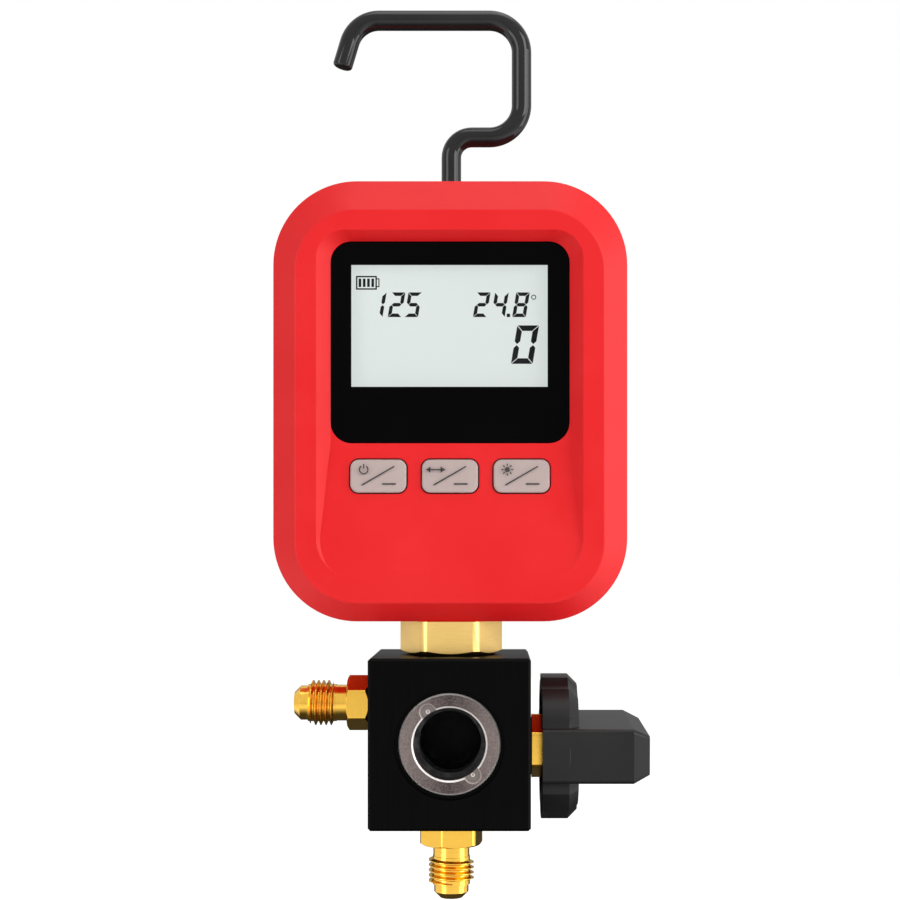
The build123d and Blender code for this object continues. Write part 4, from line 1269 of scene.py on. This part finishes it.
def floor_finish(colour):
    """Pale floor, white to the eye. Gloss sees it dark near and behind the gauge."""
    finish = Finish("studio_floor", roughness=0.9, specular_ior_level=0.1)
    eye, glossy, through = ray_kinds(finish)
    across, deep, _ = finish.parts(finish.place)
    blend = 0.9  # metres over which the dark floor turns bright
    ahead = (abs(across) * 1.5 - deep - 0.3).highest(0.0).lowest(blend) / blend
    plain = finish.mixed(finish.noise(2.0), darker(colour, 0.985), colour)
    under = glossy * (1.0 - ahead) * 0.97
    seen = eye.highest(glossy * ahead).highest(through)
    finish.set(
        base_color=finish.mixed(under, plain, darker(colour, 0.03)),
        emission_color=finish.mixed(seen, (0.0, 0.0, 0.0), tuple(colour)),
        emission_strength=FLOOR_GLOW,
    )
    return finish.material


def add_floor(colour):
    """A square floor under the gauge."""
    mesh = bpy.data.meshes.new("studio_floor")
    sides = (-FLOOR_REACH, FLOOR_REACH)
    corners = [(x, y, FLOOR_Z) for y in sides for x in sides]
    mesh.from_pydata(corners, [], [(0, 1, 3, 2)])
    mesh.materials.append(floor_finish(colour))
    floor = bpy.data.objects.new("studio_floor", mesh)
    bpy.context.scene.collection.objects.link(floor)


def soft_box(name, place, width, height, power):
    """A rectangular lamp that looks at the gauge."""
    lamp = bpy.data.lights.new(name, "AREA")
    lamp.shape = "RECTANGLE"
    lamp.size = width
    lamp.size_y = height
    lamp.energy = power
    shown = bpy.data.objects.new(name, lamp)
    shown.location = place
    shown.rotation_euler = (Vector(LAMP_AIM) - Vector(place)).to_track_quat("-Z", "Y").to_euler()
    bpy.context.scene.collection.objects.link(shown)
    return shown


def add_world():
    """White surroundings for the eye, dim ones for dull faces, shaded ones for gloss."""
    world = bpy.data.worlds.new("studio_air")
    world.use_nodes = True
    air = Tree(world.node_tree)
    eye, glossy, through = ray_kinds(air)
    seen = eye.highest(through)
    room = air.node("ShaderNodeTexCoord", output="Generated")
    split = air.node("ShaderNodeSeparateXYZ", None, {0: room})
    behind, above = (Link(air, split.socket.node.outputs[axis]) for axis in (1, 2))
    far_side = (behind - 0.5).highest(0.0) * 1.9
    near_side = (-0.88 - behind).highest(0.0) * 1.2
    backdrop = (above * 0.9 + 0.96 - (far_side + near_side)).highest(0.06).lowest(1.0)
    plain = seen.highest((1.0 - seen) * AMBIENT)
    background = world.node_tree.nodes["Background"]
    air.put(background.inputs["Color"], (1.0, 1.0, 1.0))
    air.put(background.inputs["Strength"], plain.highest(glossy * backdrop))
    bpy.context.scene.world = world


def add_camera():
    """A level camera in front of the gauge."""
    camera = bpy.data.cameras.new("studio_camera")
    camera.lens = CAMERA_LENS
    camera.sensor_width = 36.0
    camera.shift_x, camera.shift_y = CAMERA_SHIFT
    camera.clip_start = 0.01
    shown = bpy.data.objects.new("studio_camera", camera)
    shown.location = CAMERA_PLACE
    shown.rotation_euler = (math.radians(90), 0, 0)
    bpy.context.scene.collection.objects.link(shown)
    bpy.context.scene.camera = shown


class GAUGE_OT_studio(GaugeOperator):
    """Sets the floor, the soft lamps, the white surroundings and the camera."""

    bl_idname = "gauge.studio"
    bl_label = "Studio"

    def execute(self, context):
        add_floor(self.colours.floor)
        for name, place, width, height, power, in_gloss in LAMPS:
            lamp = soft_box(name, place, width, height, power)
            lamp.visible_glossy = in_gloss
        add_world()
        add_camera()
        context.scene.view_settings.view_transform = "Standard"
        return {"FINISHED"}


STEPS = (
    GAUGE_OT_finishes,
    GAUGE_OT_hook,
    GAUGE_OT_case,
    GAUGE_OT_display,
    GAUGE_OT_keys,
    GAUGE_OT_inside,
    GAUGE_OT_block,
    GAUGE_OT_unions,
    GAUGE_OT_valve,
    GAUGE_OT_studio,
)


class GAUGE_PT_panel(bpy.types.Panel):
    """Lists the steps of the gauge and its settings."""

    bl_idname = "GAUGE_PT_panel"
    bl_label = "Manifold gauge"
    bl_space_type = "VIEW_3D"
    bl_region_type = "UI"
    bl_category = "Gauge"

    def draw(self, context):
        for step in STEPS:
            self.layout.operator(step.bl_idname)
        for settings in (context.scene.gauge_sizes, context.scene.gauge_colours):
            column = self.layout.column()
            for name in settings.__annotations__:
                column.prop(settings, name)


CLASSES = (GaugeSizes, GaugeColours, *STEPS, GAUGE_PT_panel)


def register():
    for item in CLASSES:
        bpy.utils.register_class(item)
    bpy.types.Scene.gauge_sizes = bpy.props.PointerProperty(type=GaugeSizes)
    bpy.types.Scene.gauge_colours = bpy.props.PointerProperty(type=GaugeColours)


def unregister():
    del bpy.types.Scene.gauge_sizes
    del bpy.types.Scene.gauge_colours
    for item in reversed(CLASSES):
        bpy.utils.unregister_class(item)


def main():
    """Runs every step in order."""
    register()
    for step in STEPS:
        group, name = step.bl_idname.split(".")
        getattr(getattr(bpy.ops, group), name)()


if __name__ == "__main__":
    main()
